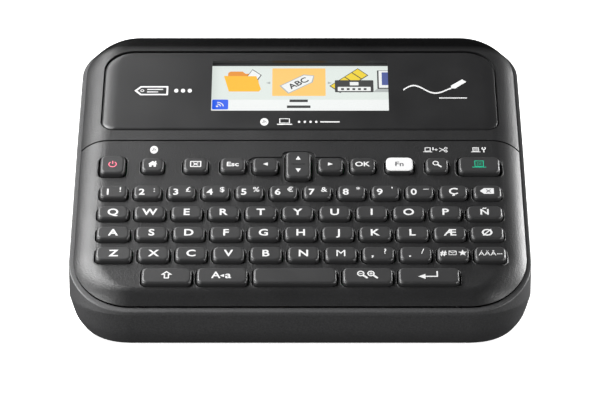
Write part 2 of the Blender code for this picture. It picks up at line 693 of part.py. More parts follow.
def make_mechanism():
    frame_mesh = bmesh.new()
    box(frame_mesh, *FRAME_X, *FRAME_Y, *FRAME_Z)
    frame = add_object("mechanism_frame", frame_mesh, "steel")
    idler_pin = bmesh.new()
    rod(idler_pin, (IDLER.x, IDLER.z), SHAFT_RADIUS, sum(FRAME_Y) / 2, SHAFT_TIP, "Y", 10)
    boolean(frame, "idler_pin_union", idler_pin, "UNION")
    holes = bmesh.new()
    for place in (PLATEN, PINION):
        rod(holes, (place.x, place.z), SHAFT_RADIUS + GAP, FRAME_Y[0] - 1, FRAME_Y[1] + 1, "Y", 10)
    boolean(frame, "shaft_holes", holes)

    motor = bmesh.new()
    front, back = MOTOR_Y
    levels = (
        (MOTOR_RADIUS, front),
        (MOTOR_RADIUS, back),
        (SHAFT_RADIUS, back),
        (SHAFT_RADIUS, SHAFT_TIP),
    )
    middle = (PINION.x, PINION.z)
    loft(motor, [[(a, y, b) for a, b in circle(middle, radius, 12)] for radius, y in levels])
    add_object("drive_motor", motor, "steel")

    towards = math.atan2(IDLER.z - PLATEN.z, IDLER.x - PLATEN.x)
    away = math.atan2(PINION.z - IDLER.z, PINION.x - IDLER.x)
    make_gear("platen_gear", PLATEN, PLATEN_TEETH, towards, SHAFT_RADIUS + GAP)
    idler_phase = towards + math.pi + math.pi / IDLER_TEETH
    make_gear("idler_gear", IDLER, IDLER_TEETH, idler_phase, SHAFT_RADIUS + GAP)
    # The pinion has a gap where the idler's nearest tooth points at it.
    step = 2 * math.pi / IDLER_TEETH
    offset = (away - idler_phase + step / 2) % step - step / 2
    pinion_phase = away + math.pi + math.pi / PINION_TEETH + offset * IDLER_TEETH / PINION_TEETH
    make_gear("motor_pinion", PINION, PINION_TEETH, pinion_phase, SHAFT_RADIUS + GAP)

    roller = bmesh.new()
    levels = (
        (SHAFT_RADIUS, -ROLLER_LENGTH - 3),
        (SHAFT_RADIUS, -ROLLER_LENGTH),
        (ROLLER_RADIUS, -ROLLER_LENGTH),
        (ROLLER_RADIUS, 0.0),
        (SHAFT_RADIUS, 0.0),
        (SHAFT_RADIUS, SHAFT_TIP - ROLLER_END),
    )
    rings = [[(a, y, b) for a, b in circle((0, 0), radius, 12)] for radius, y in levels]
    loft(roller, rings)
    add_object("platen_roller", roller, "rubber", Matrix.Translation((PLATEN.x, ROLLER_END, PLATEN.z)))

    head = bmesh.new()
    box(head, *HEAD_BOX)
    add_object("print_head", head, "steel")
    blade = bmesh.new()
    thick, wide = BLADE_HALF
    box(blade, -thick, thick, -wide, wide, 0, BLADE_HEIGHT)
    add_object("cutter_blade", blade, "steel", Matrix.Translation(BLADE_PLACE))

    case = bmesh.new()
    box(case, *CASSETTE_X, *CASSETTE_Y, *CASSETTE_Z)
    cassette = add_object("cassette_case", case, "cassette")
    hollow = bmesh.new()
    box(
        hollow,
        CASSETTE_X[0] + CASSETTE_WALL,
        CASSETTE_X[1] - CASSETTE_WALL,
        CASSETTE_Y[0] + CASSETTE_WALL,
        CASSETTE_Y[1] - CASSETTE_WALL,
        CASSETTE_Z[0] + CASSETTE_WALL,
        CASSETTE_Z[1] - CASSETTE_WALL,
    )
    boolean(cassette, "cassette_hollow", hollow)
    windows = bmesh.new()
    left, right, low, high = REEL_WINDOW
    box(windows, left, right, CASSETTE_Y[1] - 5, CASSETTE_Y[1] + 5, low, high)
    left = CASSETTE_X[0]
    low, high = TAPE_Z - TAPE_WINDOW, TAPE_Z + TAPE_WINDOW
    box(windows, left - 5, left + 5, SLOT_Y[0] + 1, SLOT_Y[1] - 1, low, high)
    boolean(cassette, "cassette_windows", windows)
    for name, (x, z), radius in SPOOLS:
        spool = bmesh.new()
        length = CASSETTE_Y[1] - CASSETTE_Y[0] - 2 * CASSETTE_WALL - 2 * GAP
        rod(spool, (0, 0), radius, -length / 2, length / 2, "Y", 20)
        place = Matrix.Translation((x, sum(CASSETTE_Y) / 2, z))
        wound = add_object(name, spool, "tape", place)
        hub = bmesh.new()
        rod(hub, (0, 0), HUB_RADIUS, -length, length, "Y", 8)
        boolean(wound, name + "_hub", hub, frame=place)


# Rear cover, feet and screws -----------------------------------------------------------------
def rear_outline():
    """The rear wall's outer line at the middle of the case, from its foot over the crest."""
    crest = REAR_PROFILE[-1][1]
    top = rim_height(crest)
    lip = top - (crest - COVER_LIP) * math.tan(DISPLAY_SLOPE)
    wall = [(rear, WALL_FOOT + share * (top - WALL_FOOT)) for share, rear in REAR_PROFILE]
    return wall + [(COVER_LIP, lip)]


def inward(points, distance):
    """The open outline moved to its inner side, towards -Y."""
    moved = []
    for i, (y, z) in enumerate(points):
        before = points[max(i - 1, 0)]
        after = points[min(i + 1, len(points) - 1)]
        run = Vector((after[0] - before[0], after[1] - before[1])).normalized()
        moved.append((y - run.y * distance, z + run.x * distance))
    return moved


def make_rear_cover():
    outer = rear_outline()
    inner = inward(outer, WALL)
    hinge_y, hinge_z = COVER_HINGE
    arc = []
    for i in range(BARREL_STEPS + 1):
        angle = -math.pi * i / BARREL_STEPS
        arc.append((hinge_y + BARREL * math.cos(angle), hinge_z + BARREL * math.sin(angle)))
    outline = outer[::-1] + arc + inner
    local = [(y - hinge_y, z - hinge_z) for y, z in outline]
    place = Matrix.Translation((0, hinge_y, hinge_z))
    mesh = bmesh.new()
    prism(mesh, local, -COVER_HALF, COVER_HALF, "X")
    cover = add_object("rear_cover", mesh, "case", place)
    pins = bmesh.new()
    for side in (-1, 1):
        low, high = sorted((side * (COVER_HALF - 2), side * (COVER_HALF + GAP + HINGE_PIN_REACH)))
        rod(pins, (0, 0), HINGE_PIN, low, high, "X", 10)
    boolean(cover, "hinge_pins", pins, "UNION", place)


def make_feet_and_screws():
    for i, place in enumerate(FOOT_PLACES):
        foot = bmesh.new()
        rod(foot, (0, 0), FOOT_RADIUS, 0, FOOT_HEIGHT + FOOT_SINK - GAP, sides=16)
        add_object(f"rubber_foot_{i + 1}", foot, "rubber", Matrix.Translation((*place, 0)))
    for i, place in enumerate(SCREW_PLACES):
        screw = bmesh.new()
        levels = (
            (SCREW_HEAD, SCREW_SEAT - 2.6),
            (SCREW_HEAD, SCREW_SEAT - GAP),
            (SHAFT_RADIUS, SCREW_SEAT - GAP),
            (SHAFT_RADIUS, BOSS_TOP - 1),
        )
        rings = [[(x, y, z) for x, y in circle((0, 0), radius, 12)] for radius, z in levels]
        loft(screw, rings)
        add_object(f"case_screw_{i + 1}", screw, "steel", Matrix.Translation((*place, 0)))


def main():
    clear_scene()
    make_lower_case()
    make_keyboard_cover()
    make_display_housing()
    make_display()
    make_boards()
    make_keys()
    make_power()
    make_mechanism()
    make_rear_cover()
    make_feet_and_screws()


main()
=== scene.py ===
"""The looks of the desktop label maker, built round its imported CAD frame.

Lengths inside this script are in millimetres, and the helpers turn them into the frame's metres.
The keyboard and the display lie in two sloping planes. Each has a frame of its own, in which
X runs across, Y up the slope and Z out of the surface.
"""

import json
import math

import bmesh
import bpy
from mathutils import Matrix, Vector


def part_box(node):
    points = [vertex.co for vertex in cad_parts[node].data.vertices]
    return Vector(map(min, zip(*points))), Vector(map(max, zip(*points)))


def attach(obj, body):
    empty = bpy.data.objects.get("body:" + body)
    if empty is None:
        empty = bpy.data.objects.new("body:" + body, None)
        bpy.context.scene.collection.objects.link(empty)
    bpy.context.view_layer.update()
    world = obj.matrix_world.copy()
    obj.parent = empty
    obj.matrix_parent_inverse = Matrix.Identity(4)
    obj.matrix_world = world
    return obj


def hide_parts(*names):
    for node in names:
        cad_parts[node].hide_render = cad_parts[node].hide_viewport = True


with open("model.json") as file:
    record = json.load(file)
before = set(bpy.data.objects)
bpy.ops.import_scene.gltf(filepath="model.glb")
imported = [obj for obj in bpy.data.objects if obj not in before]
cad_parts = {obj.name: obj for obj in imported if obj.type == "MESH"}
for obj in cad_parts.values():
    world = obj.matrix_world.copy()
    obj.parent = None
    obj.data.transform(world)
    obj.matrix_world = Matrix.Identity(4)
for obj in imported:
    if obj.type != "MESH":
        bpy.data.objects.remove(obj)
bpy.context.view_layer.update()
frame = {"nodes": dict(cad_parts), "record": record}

MM = 0.001

# The outer form, as the CAD has it --------------------------------------------------------
CASE_HALF = 101.0
CASE_FRONT = -92.6
CASE_BACK = 92.0
FRONT_CORNER = 28.0
BACK_CORNER = 26.0
WALL = 2.2
SHELL_INSET = 2.1
SHELL_WALL = 2.0
DECK_SLOPE = math.radians(25)
DISPLAY_SLOPE = math.radians(22)
DECK_ORIGIN = Vector((0, -92.6, 26.0))
SEAM_Y = -4.14
SEAM_Z = DECK_ORIGIN.z + (SEAM_Y - DECK_ORIGIN.y) * math.tan(DECK_SLOPE)
SHELL_BACK = 70.0
EDGE_DROP = 5.0
EDGE_SIDE = 13.0
EDGE_FRONT = 4.4
EDGE_BACK = 10.0
EDGE_ANGLE = math.radians(55)
REVEAL = 0.8
SEAM_GAP = 0.8
WALL_FOOT = 18.0
FLOOR_TOP = 3.7
BASE_PROFILE = ((1.5, 9.0), (3.0, 7.0), (6.0, 4.6), (10.0, 2.4), (18.0, 0.0))
REAR_PROFILE = ((0.0, 92.0), (0.695, 85.0), (0.82, 82.5), (0.925, 78.0), (1.0, 72.0))
COVER_HALF = 75.0
COVER_LIP = 65.5
COVER_HINGE = (89.2, 13.0)
BARREL = 2.6
GAP = 0.35
PIN = 1.45  # radius of the rear cover's hinge pins
BORE = 1.75
BORE_DEPTH = 3.3
CORNER_STEPS = 18

# Keys -------------------------------------------------------------------------------------
KEY_TOP = 2.0
HOLE_GAP = 0.45
HOLE_CORNER = 2.7
KEY_CORNER = 2.4
TOP_POINTS = 8  # corners of a CAD key's top face
TOP_BEVEL = 0.7  # width of its bevel
INK = 0.03  # how thick the printing stands

# Camera: the photograph's viewing angle -----------------------------------------------------
CAMERA_ELEVATION = math.radians(20)
CAMERA_DISTANCE = 1400.0
CAMERA_TARGET = Vector((0, -38.4, 51.1))
CAMERA_LENS = 189.84


# Frames and meshes --------------------------------------------------------------------------
def deck_frame(x=0.0, up=0.0, out=0.0):
    turn = Matrix.Rotation(DECK_SLOPE, 4, "X")
    return Matrix.Translation(DECK_ORIGIN) @ turn @ Matrix.Translation((x, up, out))


def display_frame(x=0.0, up=0.0, out=0.0):
    turn = Matrix.Rotation(DISPLAY_SLOPE, 4, "X")
    return Matrix.Translation((0, SEAM_Y, SEAM_Z)) @ turn @ Matrix.Translation((x, up, out))


def local_points(node, place):
    """A CAD node's points in millimetres in a sloping frame."""
    inverse = place.inverted()
    return [inverse @ (vertex.co / MM) for vertex in frame["nodes"][node].data.vertices]


def add_piece(name, mesh, surfaces, place=None, smooth=35.0):
    """A mesh drawn in millimetres in its own frame, as an object in the frame's metres."""
    bmesh.ops.recalc_face_normals(mesh, faces=mesh.faces)
    transform = Matrix.Scale(MM, 4) @ (place or Matrix.Identity(4))
    bmesh.ops.transform(mesh, matrix=transform, verts=mesh.verts)
    data = bpy.data.meshes.new(name)
    mesh.to_mesh(data)
    mesh.free()
    for surface in surfaces if isinstance(surfaces, (list, tuple)) else [surfaces]:
        data.materials.append(surface)
    data.shade_smooth()
    data.set_sharp_from_angle(angle=math.radians(smooth))
    piece = bpy.data.objects.new(name, data)
    bpy.context.scene.collection.objects.link(piece)
    return piece


def baked(piece):
    """The piece with its modifiers applied."""
    bpy.context.view_layer.update()
    graph = bpy.context.evaluated_depsgraph_get()
    data = bpy.data.meshes.new_from_object(piece.evaluated_get(graph))
    piece.modifiers.clear()
    piece.data = data
    return piece


def carve(piece, cutter, operation="DIFFERENCE"):
    """Cuts one piece with another, which is then removed."""
    modifier = piece.modifiers.new("carve", "BOOLEAN")
    modifier.object = cutter
    modifier.operation = operation
    baked(piece)
    bpy.data.objects.remove(cutter)
    return piece


def flat_normals(piece, angle=30.0):
    """Shades big flat faces flat and keeps the round edges round."""
    piece.data.shade_smooth()
    piece.data.set_sharp_from_angle(angle=math.radians(angle))
    modifier = piece.modifiers.new("normals", "WEIGHTED_NORMAL")
    modifier.keep_sharp = True
    modifier.weight = 100
    return baked(piece)


def loft(mesh, rings, closed=True, caps=(True, True), material=0):
    """Skins equal rings of points with quads, and fills the first and last ring."""
    rows = [[mesh.verts.new(point) for point in ring] for ring in rings]
    count = len(rows[0])
    for low, high in zip(rows, rows[1:]):
        for i in range(count if closed else count - 1):
            j = (i + 1) % count
            mesh.faces.new((low[i], low[j], high[j], high[i])).material_index = material
    if caps[0]:
        mesh.faces.new(rows[0][::-1]).material_index = material
    if caps[1]:
        mesh.faces.new(rows[-1]).material_index = material


def rounded(half_x, half_y, radius, steps=6, x=0.0, y=0.0):
    """A rounded rectangle's outline about (x, y), counter-clockwise."""
    outline = []
    for sx, sy, start in ((1, -1, -90), (1, 1, 0), (-1, 1, 90), (-1, -1, 180)):
        for i in range(steps + 1):
            angle = math.radians(start + 90 * i / steps)
            outline.append(
                (
                    x + sx * (half_x - radius) + radius * math.cos(angle),
                    y + sy * (half_y - radius) + radius * math.sin(angle),
                )
            )
    return outline


def at_height(outline, z):
    return [(x, y, z) for x, y in outline]


def circle(radius, sides=32, x=0.0, y=0.0):
    turns = [2 * math.pi * i / sides for i in range(sides)]
    return [(x + radius * math.cos(t), y + radius * math.sin(t)) for t in turns]


def box(mesh, low, high):
    (x0, y0, z0), (x1, y1, z1) = low, high
    outline = ((x0, y0), (x1, y0), (x1, y1), (x0, y1))
    loft(mesh, [at_height(outline, z0), at_height(outline, z1)])


def cutter_box(low, high, place=None):
    mesh = bmesh.new()
    box(mesh, low, high)
    return add_piece("cutter", mesh, [], place)


# Materials ------------------------------------------------------------------------------------
class Nodes:
    """A short way to write a material's node tree."""

    def __init__(self, name):
        self.material = bpy.data.materials.new(name)
        self.material.use_nodes = True
        self.tree = self.material.node_tree
        self.shader = self.tree.nodes["Principled BSDF"]
        self.place = self.node("ShaderNodeTexCoord").outputs["Object"]

    def node(self, kind, **values):
        made = self.tree.nodes.new(kind)
        for key, value in values.items():
            if hasattr(made, key):
                setattr(made, key, value)
            else:
                made.inputs[key.replace("_", " ")].default_value = value
        return made

    def link(self, source, target):
        self.tree.links.new(source, target)

    def stretch(self, scale):
        mapping = self.node("ShaderNodeMapping")
        mapping.inputs["Scale"].default_value = scale
        self.link(self.place, mapping.inputs["Vector"])
        return mapping.outputs["Vector"]

    def noise(self, scale, detail=3.0, vector=None):
        made = self.node("ShaderNodeTexNoise", Scale=scale, Detail=detail)
        self.link(vector or self.place, made.inputs["Vector"])
        return made.outputs["Fac"]

    def cells(self, scale, vector=None):
        made = self.node("ShaderNodeTexVoronoi", Scale=scale)
        self.link(vector or self.place, made.inputs["Vector"])
        return made.outputs["Distance"]

    def spread(self, source, low, high):
        made = self.node("ShaderNodeMapRange")
        made.inputs["To Min"].default_value = low
        made.inputs["To Max"].default_value = high
        self.link(source, made.inputs["Value"])
        return made.outputs["Result"]

    def ramp(self, source, stops):
        made = self.node("ShaderNodeValToRGB")
        ramp = made.color_ramp
        for i, (position, colour) in enumerate(stops):
            stop = ramp.elements[i] if i < 2 else ramp.elements.new(position)
            stop.position = position
            stop.color = (*colour, 1)
        self.link(source, made.inputs["Fac"])
        return made.outputs["Color"]

    def colour(self, source):
        self.link(source, self.shader.inputs["Base Color"])

    def roughness(self, source):
        self.link(source, self.shader.inputs["Roughness"])

    def bump(self, height, distance, strength=1.0, below=None):
        made = self.node("ShaderNodeBump")
        made.inputs["Distance"].default_value = distance * MM
        made.inputs["Strength"].default_value = strength
        self.link(height, made.inputs["Height"])
        if below:
            self.link(below, made.inputs["Normal"])
        self.link(made.outputs["Normal"], self.shader.inputs["Normal"])
        return made.outputs["Normal"]


def shade(colour, factor):
    return tuple(channel * factor for channel in colour)


def moulded(name, colour, rough, grain, depth, specular=0.5, mottle=0.25, painted_back_shade=False):
    """Moulded plastic: a fine spark-eroded grain, with slightly uneven colour and gloss.

    With this flag set, painted shade darkens the colour and fades the gloss towards the piece's back edge.
    """
    made = Nodes(name)
    made.shader.inputs["Specular IOR Level"].default_value = specular
    speckle = made.noise(grain, 2.0)
    cloud = made.noise(60.0, 4.0)
    tone = made.ramp(
        speckle,
        ((0.30, shade(colour, 1 - mottle)), (0.70, shade(colour, 1 + mottle))),
    )
    made.colour(tone)
    made.roughness(made.spread(cloud, rough - 0.07, rough + 0.07))
    # Painted shade: along Y towards the back edge the colour is darkened to a quarter and the gloss faded,
    # standing in for the shade that falls there.
    if painted_back_shade:
        axes = made.node("ShaderNodeSeparateXYZ")
        made.link(made.place, axes.inputs["Vector"])
        painted_shade = made.node("ShaderNodeHueSaturation")
        made.link(tone, painted_shade.inputs["Color"])
        made.colour(painted_shade.outputs["Color"])
        for target, low in ((made.shader.inputs["Specular IOR Level"], 0.04), (painted_shade.inputs["Value"], 0.25)):
            fade = made.spread(axes.outputs["Y"], target.default_value, low)
            fade.node.inputs["From Min"].default_value = BACK_SHADE_FROM * MM
            fade.node.inputs["From Max"].default_value = BACK_SHADE_TO * MM
            made.link(fade, target)
    fine = made.bump(speckle, depth, 0.9)
    made.bump(made.cells(grain * 0.6), depth * 0.7, 0.5, fine)
    return made.material


def printed(name, colour, rough=0.5):
    """Screen-printed ink: dense, with a faint mesh texture."""
    made = Nodes(name)
    mesh = made.noise(4000.0, 2.0)
    made.colour(made.ramp(mesh, ((0.2, shade(colour, 0.93)), (0.8, colour))))
    made.roughness(made.spread(mesh, rough - 0.08, rough + 0.08))
    made.bump(mesh, 0.004)
    return made.material


def pixels(name, colour, glow=1.0, top=None):
    """A patch of the lit display: its light has the fine rows and columns of the panel."""
    made = Nodes(name)
    rows = made.node("ShaderNodeTexWave", Scale=1300.0, bands_direction="X")
    made.link(made.place, rows.inputs["Vector"])
    lit = made.ramp(rows.outputs["Fac"], ((0.0, shade(colour, 0.92)), (0.5, colour)))
    made.colour(made.ramp(rows.outputs["Fac"], ((0.0, shade(colour, 0.02)), (0.5, shade(colour, 0.03)))))
    made.shader.inputs["Specular IOR Level"].default_value = 0.06
    made.link(lit, made.shader.inputs["Emission Color"])
    made.shader.inputs["Emission Strength"].default_value = glow
    made.roughness(made.spread(made.noise(300.0), 0.25, 0.35))
    return made.material


def metal(name, colour, rough, brushed=(1, 1, 40)):
    """Plated or bare metal with a drawn grain."""
    made = Nodes(name)
    made.shader.inputs["Metallic"].default_value = 1.0
    grain = made.noise(400.0, 4.0, made.stretch(brushed))
    made.colour(made.ramp(grain, ((0.3, shade(colour, 0.82)), (0.7, colour))))
    made.roughness(made.spread(grain, rough - 0.1, rough + 0.12))
    made.bump(grain, 0.01, 0.5)
    return made.material


def circuit(name):
    """A solder-masked board: copper tracks show as a lighter green."""
    made = Nodes(name)
    tracks = made.node("ShaderNodeTexBrick", Scale=140.0)
    tracks.inputs["Color1"].default_value = (0.012, 0.11, 0.045, 1)
    tracks.inputs["Color2"].default_value = (0.016, 0.14, 0.055, 1)
    tracks.inputs["Mortar"].default_value = (0.05, 0.26, 0.11, 1)
    tracks.inputs["Mortar Size"].default_value = 0.03
    made.link(made.place, tracks.inputs["Vector"])
    made.colour(tracks.outputs["Color"])
    made.roughness(made.spread(made.noise(500.0), 0.28, 0.42))
    made.bump(tracks.outputs["Fac"], 0.03)
    return made.material


def banded(name, colours, axis, period):
    """A printed sleeve or wound tape: bands of colour along one axis."""
    made = Nodes(name)
    wave = made.node("ShaderNodeTexWave", Scale=period, bands_direction=axis, Distortion=0.4)
    made.link(made.place, wave.inputs["Vector"])
    made.colour(made.ramp(wave.outputs["Fac"], ((0.35, colours[0]), (0.6, colours[1]))))
    made.roughness(made.spread(made.noise(900.0), 0.3, 0.45))
    made.bump(wave.outputs["Fac"], 0.02)
    return made.material


def clear(name):
    """The display's clear window."""
    made = Nodes(name)
    made.shader.inputs["Alpha"].default_value = 0.02
    smear = made.noise(25.0, 3.0)
    made.colour(made.ramp(smear, ((0.3, (0.80, 0.84, 0.84)), (0.7, (0.88, 0.90, 0.90)))))
    made.roughness(made.spread(smear, 0.04, 0.10))
    made.bump(made.noise(3000.0), 0.001, 0.2)
    return made.material


BACK_SHADE_FROM = 53.5  # where the painted shade on the display housing's back edge starts to darken its colour and gloss, along Y
BACK_SHADE_TO = 58.5

CASE = moulded("case_plastic", (0.006, 0.006, 0.0064), 0.44, 1700.0, 0.10, mottle=0.5)
# The display housing's plastic, with painted shade darkening its back edge.
PAINTED_SHADE_HOUSING = moulded("housing_plastic_painted_back_shade", (0.006, 0.006, 0.0064), 0.44, 1700.0, 0.10, mottle=0.5, painted_back_shade=True)
# Painted light in part: the lower case's base colour is raised well above the top shells' so that its front
# band reads brighter, in place of more lamp light.
LOWER_PAINTED_LIGHT = moulded("lower_case_plastic_painted_light", (0.040, 0.040, 0.041), 0.46, 1500.0, 0.03)
PANEL = moulded("panel_plastic", (0.006, 0.006, 0.0064), 0.40, 2600.0, 0.018, mottle=0.12)
KEYS = moulded("key_plastic", (0.020, 0.020, 0.0205), 0.41, 2600.0, 0.02, mottle=0.12)
WHITE_KEY = moulded("white_key_plastic", (0.52, 0.52, 0.52), 0.48, 2600.0, 0.01, mottle=0.03)
RUBBER = moulded("foot_rubber", (0.013, 0.013, 0.013), 0.88, 900.0, 0.08, 0.3)
NYLON = moulded("gear_nylon", (0.74, 0.73, 0.68), 0.52, 1200.0, 0.02, mottle=0.06)
CASSETTE = moulded("cassette_plastic", (0.075, 0.075, 0.085), 0.38, 2200.0, 0.015, mottle=0.1)
WHITE_INK = printed("white_ink", (0.54, 0.54, 0.54))
GREY_INK = printed("grey_ink", (0.05, 0.05, 0.055))
PINK_INK = printed("pink_ink", (0.72, 0.13, 0.20))
GREEN_INK = printed("green_ink", (0.0, 0.30, 0.17))
STEEL = metal("plated_steel", (0.56, 0.56, 0.58), 0.34)
HEAT_SINK = metal("bare_aluminium", (0.66, 0.66, 0.68), 0.38, (40, 1, 1))
BOARD = circuit("circuit_board")
CELL = banded("cell_sleeve", ((0.010, 0.012, 0.016), (0.55, 0.36, 0.06)), "Y", 11.0)
TAPE = banded("wound_tape", ((0.78, 0.78, 0.76), (0.90, 0.90, 0.88)), "X", 900.0)
CLEAR = clear("clear_window")
SCREEN_WHITE = pixels("screen_white", (0.86, 0.88, 0.87), 1.0)


# Outer form -------------------------------------------------------------------------------------
def top_height(y, depth=0.0):
    slope = DECK_SLOPE if y <= SEAM_Y else DISPLAY_SLOPE
    return SEAM_Z + (y - SEAM_Y) * math.tan(slope) + depth / math.cos(slope)


def rim_height(y):
    y = min(y, REAR_PROFILE[-1][1])
    return top_height(y, -EDGE_DROP - REVEAL - 1.7 * max(0.0, (y - 50.0) / 22.0))


def edge_fall(share):
    """How far the rolled edge has dropped at a share of its width, from 0 at the very edge."""
    lean = (1 - min(max(share, 0.0), 1.0)) * math.sin(EDGE_ANGLE)
    return EDGE_DROP * (1 - math.sqrt(1 - lean**2)) / (1 - math.cos(EDGE_ANGLE))


def corner(centre, radii, start):
    points = []
    for i in range(CORNER_STEPS + 1):
        angle = math.radians(start + 90 * i / CORNER_STEPS)
        points.append((centre[0] + radii[0] * math.cos(angle), centre[1] + radii[1] * math.sin(angle)))
    return points


def front_corner(side, front):
    centre = (CASE_HALF - FRONT_CORNER, CASE_FRONT + FRONT_CORNER)
    return corner(centre, (FRONT_CORNER - side, FRONT_CORNER - front), -90)


def back_corner(side, back, rear):
    centre = (CASE_HALF - BACK_CORNER, rear - BACK_CORNER)
    return corner(centre, (BACK_CORNER - side, BACK_CORNER - back), 0)


def mirrored(points):
    return points + [(-x, y) for x, y in reversed(points)]


def case_ring(inset, rear, height):
    """One level of the lower case, where height gives Z from Y."""
    sides = [(CASE_HALF - inset, y) for y in (-45.0, SEAM_Y, 30.0)]
    outline = mirrored(front_corner(inset, inset) + sides + back_corner(inset, inset, rear))
    return [(x, y, height(y)) for x, y in outline]


def smooth_profile(points, steps):
    """A curve through points given by rising or falling first values (Catmull-Rom)."""
    padded = [points[0], *points, points[-1]]
    curve = []
    for p0, p1, p2, p3 in zip(padded, padded[1:], padded[2:], padded[3:]):
        for i in range(steps):
            t = i / steps
            curve.append(
                tuple(
                    0.5
                    * (
                        2 * b
                        + (c - a) * t
                        + (2 * a - 5 * b + 4 * c - d) * t**2
                        + (3 * b - a - 3 * c + d) * t**3
                    )
                    for a, b, c, d in zip(p0, p1, p2, p3)
                )
            )
    return [*curve, points[-1]]


def rear_levels(steps=4):
    return smooth_profile(REAR_PROFILE, steps)


def wall_ring(extra, share, rear, drop=0.0):
    return case_ring(
        extra, rear, lambda y: WALL_FOOT + share * (rim_height(y) - drop - WALL_FOOT)
    )


def slot_frame(name, side, y, z, half_y, half_z, radius, width):
    """A slim rounded frame set into the wall round an opening, flush with its face."""
    mesh = bmesh.new()
    rings = []
    edge = 0.22
    steps = ((0, -2.2), (0, -0.25), (edge, -0.05), (width - edge, -0.05), (width, -0.25), (width, -2.2))
    for grow, out in steps:
        outline = rounded(half_y + grow, half_z + grow, radius + grow, 6, y, z)
        rings.append([(side * (CASE_HALF + out), a, b) for a, b in outline])
    loft(mesh, rings + rings[:1], caps=(False, False))
    bmesh.ops.remove_doubles(mesh, verts=mesh.verts, dist=1e-5)
    frame_piece = add_piece(name, mesh, LOWER_PAINTED_LIGHT, smooth=30)
    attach(frame_piece, "case")


def make_lower_case():
    mesh = bmesh.new()
    base = smooth_profile([(z, inset) for z, inset in BASE_PROFILE], 4)[:-1]
    outer = [case_ring(inset, CASE_BACK, lambda y, z=z: z) for z, inset in base]
    walls = [wall_ring(0.0, share, rear, 0.45) for share, rear in rear_levels()]
    rim = [
        wall_ring(inset, 1.0, REAR_PROFILE[-1][1], drop)
        for inset, drop in ((0.06, 0.25), (0.2, 0.1), (0.45, 0.0))
    ]
    inside = [wall_ring(WALL, share, rear) for share, rear in reversed(rear_levels())]
    floor = [
        case_ring(inset + WALL, CASE_BACK, lambda y, z=z: max(z, FLOOR_TOP))
        for z, inset in reversed(base)
        if z > 2.5
    ]
    loft(mesh, outer + walls + rim + inside + floor)
    case = add_piece("lower_case_shell", mesh, LOWER_PAINTED_LIGHT)

    hinge_y, hinge_z = COVER_HINGE
    reach = COVER_HALF + GAP
    carve(case, cutter_box((-reach, 64, hinge_z), (reach, 110, 130)))
    barrel = bmesh.new()
    room = circle(BARREL + 0.5, 40)
    loft(barrel, [[(x, hinge_y + a, hinge_z + b) for a, b in room] for x in (-reach, reach)])
    carve(case, add_piece("cutter", barrel, []))
    label = frame["record"]["physics"]["openings"][0]["box_m"]
    _, y0, z0 = (value / MM for value in label[0])
    _, y1, z1 = (value / MM for value in label[1])
    slot_mesh = bmesh.new()
    half_y, half_z = (y1 - y0) / 2 + 0.1, (z1 - z0) / 2 + 0.1
    slot = rounded(half_y + 1.0, half_z + 1.0, 2.2, 6, (y0 + y1) / 2, (z0 + z1) / 2)
    loft(slot_mesh, [[(x, a, b) for a, b in slot] for x in (-110, -90)])
    carve(case, add_piece("cutter", slot_mesh, []))
    slot_frame("label_exit_frame", -1, (y0 + y1) / 2, (z0 + z1) / 2, half_y, half_z, 1.2, 0.9)
    for socket in ("usb_socket", "power_socket"):
        low, high = (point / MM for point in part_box(socket))
        half_y, half_z = (high.y - low.y) / 2 + GAP, (high.z - low.z) / 2 + GAP
        hole = bmesh.new()
        outline = rounded(half_y, half_z, 1.0, 5, (low.y + high.y) / 2, (low.z + high.z) / 2)
        loft(hole, [[(x, a, b) for a, b in outline] for x in (90, 110)])
        carve(case, add_piece("cutter", hole, []))
    underside = bmesh.new()
    for i in range(1, 5):
        low, high = (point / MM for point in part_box(f"rubber_foot_{i}"))
        middle = (low + high) / 2
        outline = circle((high.x - low.x) / 2 + GAP, 40, middle.x, middle.y)
        loft(underside, [at_height(outline, 0), at_height(outline, 2.2)])
        low, high = (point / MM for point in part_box(f"case_screw_{i}"))
        middle = (low + high) / 2
        outline = circle((high.x - low.x) / 2 + GAP, 32, middle.x, middle.y)
        loft(underside, [at_height(outline, 0), at_height(outline, 8)])
    carve(case, add_piece("cutter", underside, []))
    low, high = (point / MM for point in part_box("battery_door"))
    bay = cutter_box((low.x + 1.5, low.y + 1.5, 0), (high.x - 1.5, high.y - 1.5, 6))
    recess = cutter_box((low.x - GAP, low.y - GAP, 0), (high.x + GAP, high.y + GAP + 6.0, 3.0))
    carve(case, recess)
    carve(case, bay)
    bosses = bmesh.new()
    for side in (-1, 1):
        start = side * reach
        profile = ((0.0, 3.0), (0.3, 3.35), (3.9, 3.35), (4.35, 2.9))
        rings = [
            [(start + side * along, hinge_y + a, hinge_z + b) for a, b in circle(radius, 32)]
            for along, radius in profile
        ]
        loft(bosses, rings if side > 0 else rings[::-1])
    carve(case, add_piece("cutter", bosses, []), "UNION")
    bores = bmesh.new()
    rod_along(bores, "X", -reach - BORE_DEPTH, reach + BORE_DEPTH, COVER_HINGE, BORE, 24)
    carve(case, add_piece("cutter", bores, []))
    flat_normals(case, 32)
    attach(case, "case")
    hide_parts("lower_case")


SETTLE = 0.03  # keeps the finer curve inside the CAD's facets
SHARES = (0.0, 0.03, 0.08, 0.15, 0.24, 0.34, 0.45, 0.57, 0.70, 0.84, 1.0)


def shell_rings(part, seam):
    """Open rings of a top shell, from its edge inwards, ending square at the seam."""
    rings = []
    for share in SHARES:
        side = SHELL_INSET + share * EDGE_SIDE
        x = CASE_HALF - side
        if part == "front":
            front = SHELL_INSET + share * EDGE_FRONT
            half = [(x, seam), (x, -30.0)] + front_corner(side, front)[::-1]
        else:
            back = SHELL_INSET + share * EDGE_BACK
            half = [(x, seam), (x, 20.0)] + back_corner(side, back, SHELL_BACK + SHELL_INSET)
        drop = edge_fall(share)
        rings.append([(a, b, top_height(b, -drop - SETTLE)) for a, b in mirrored(half)])
    return rings


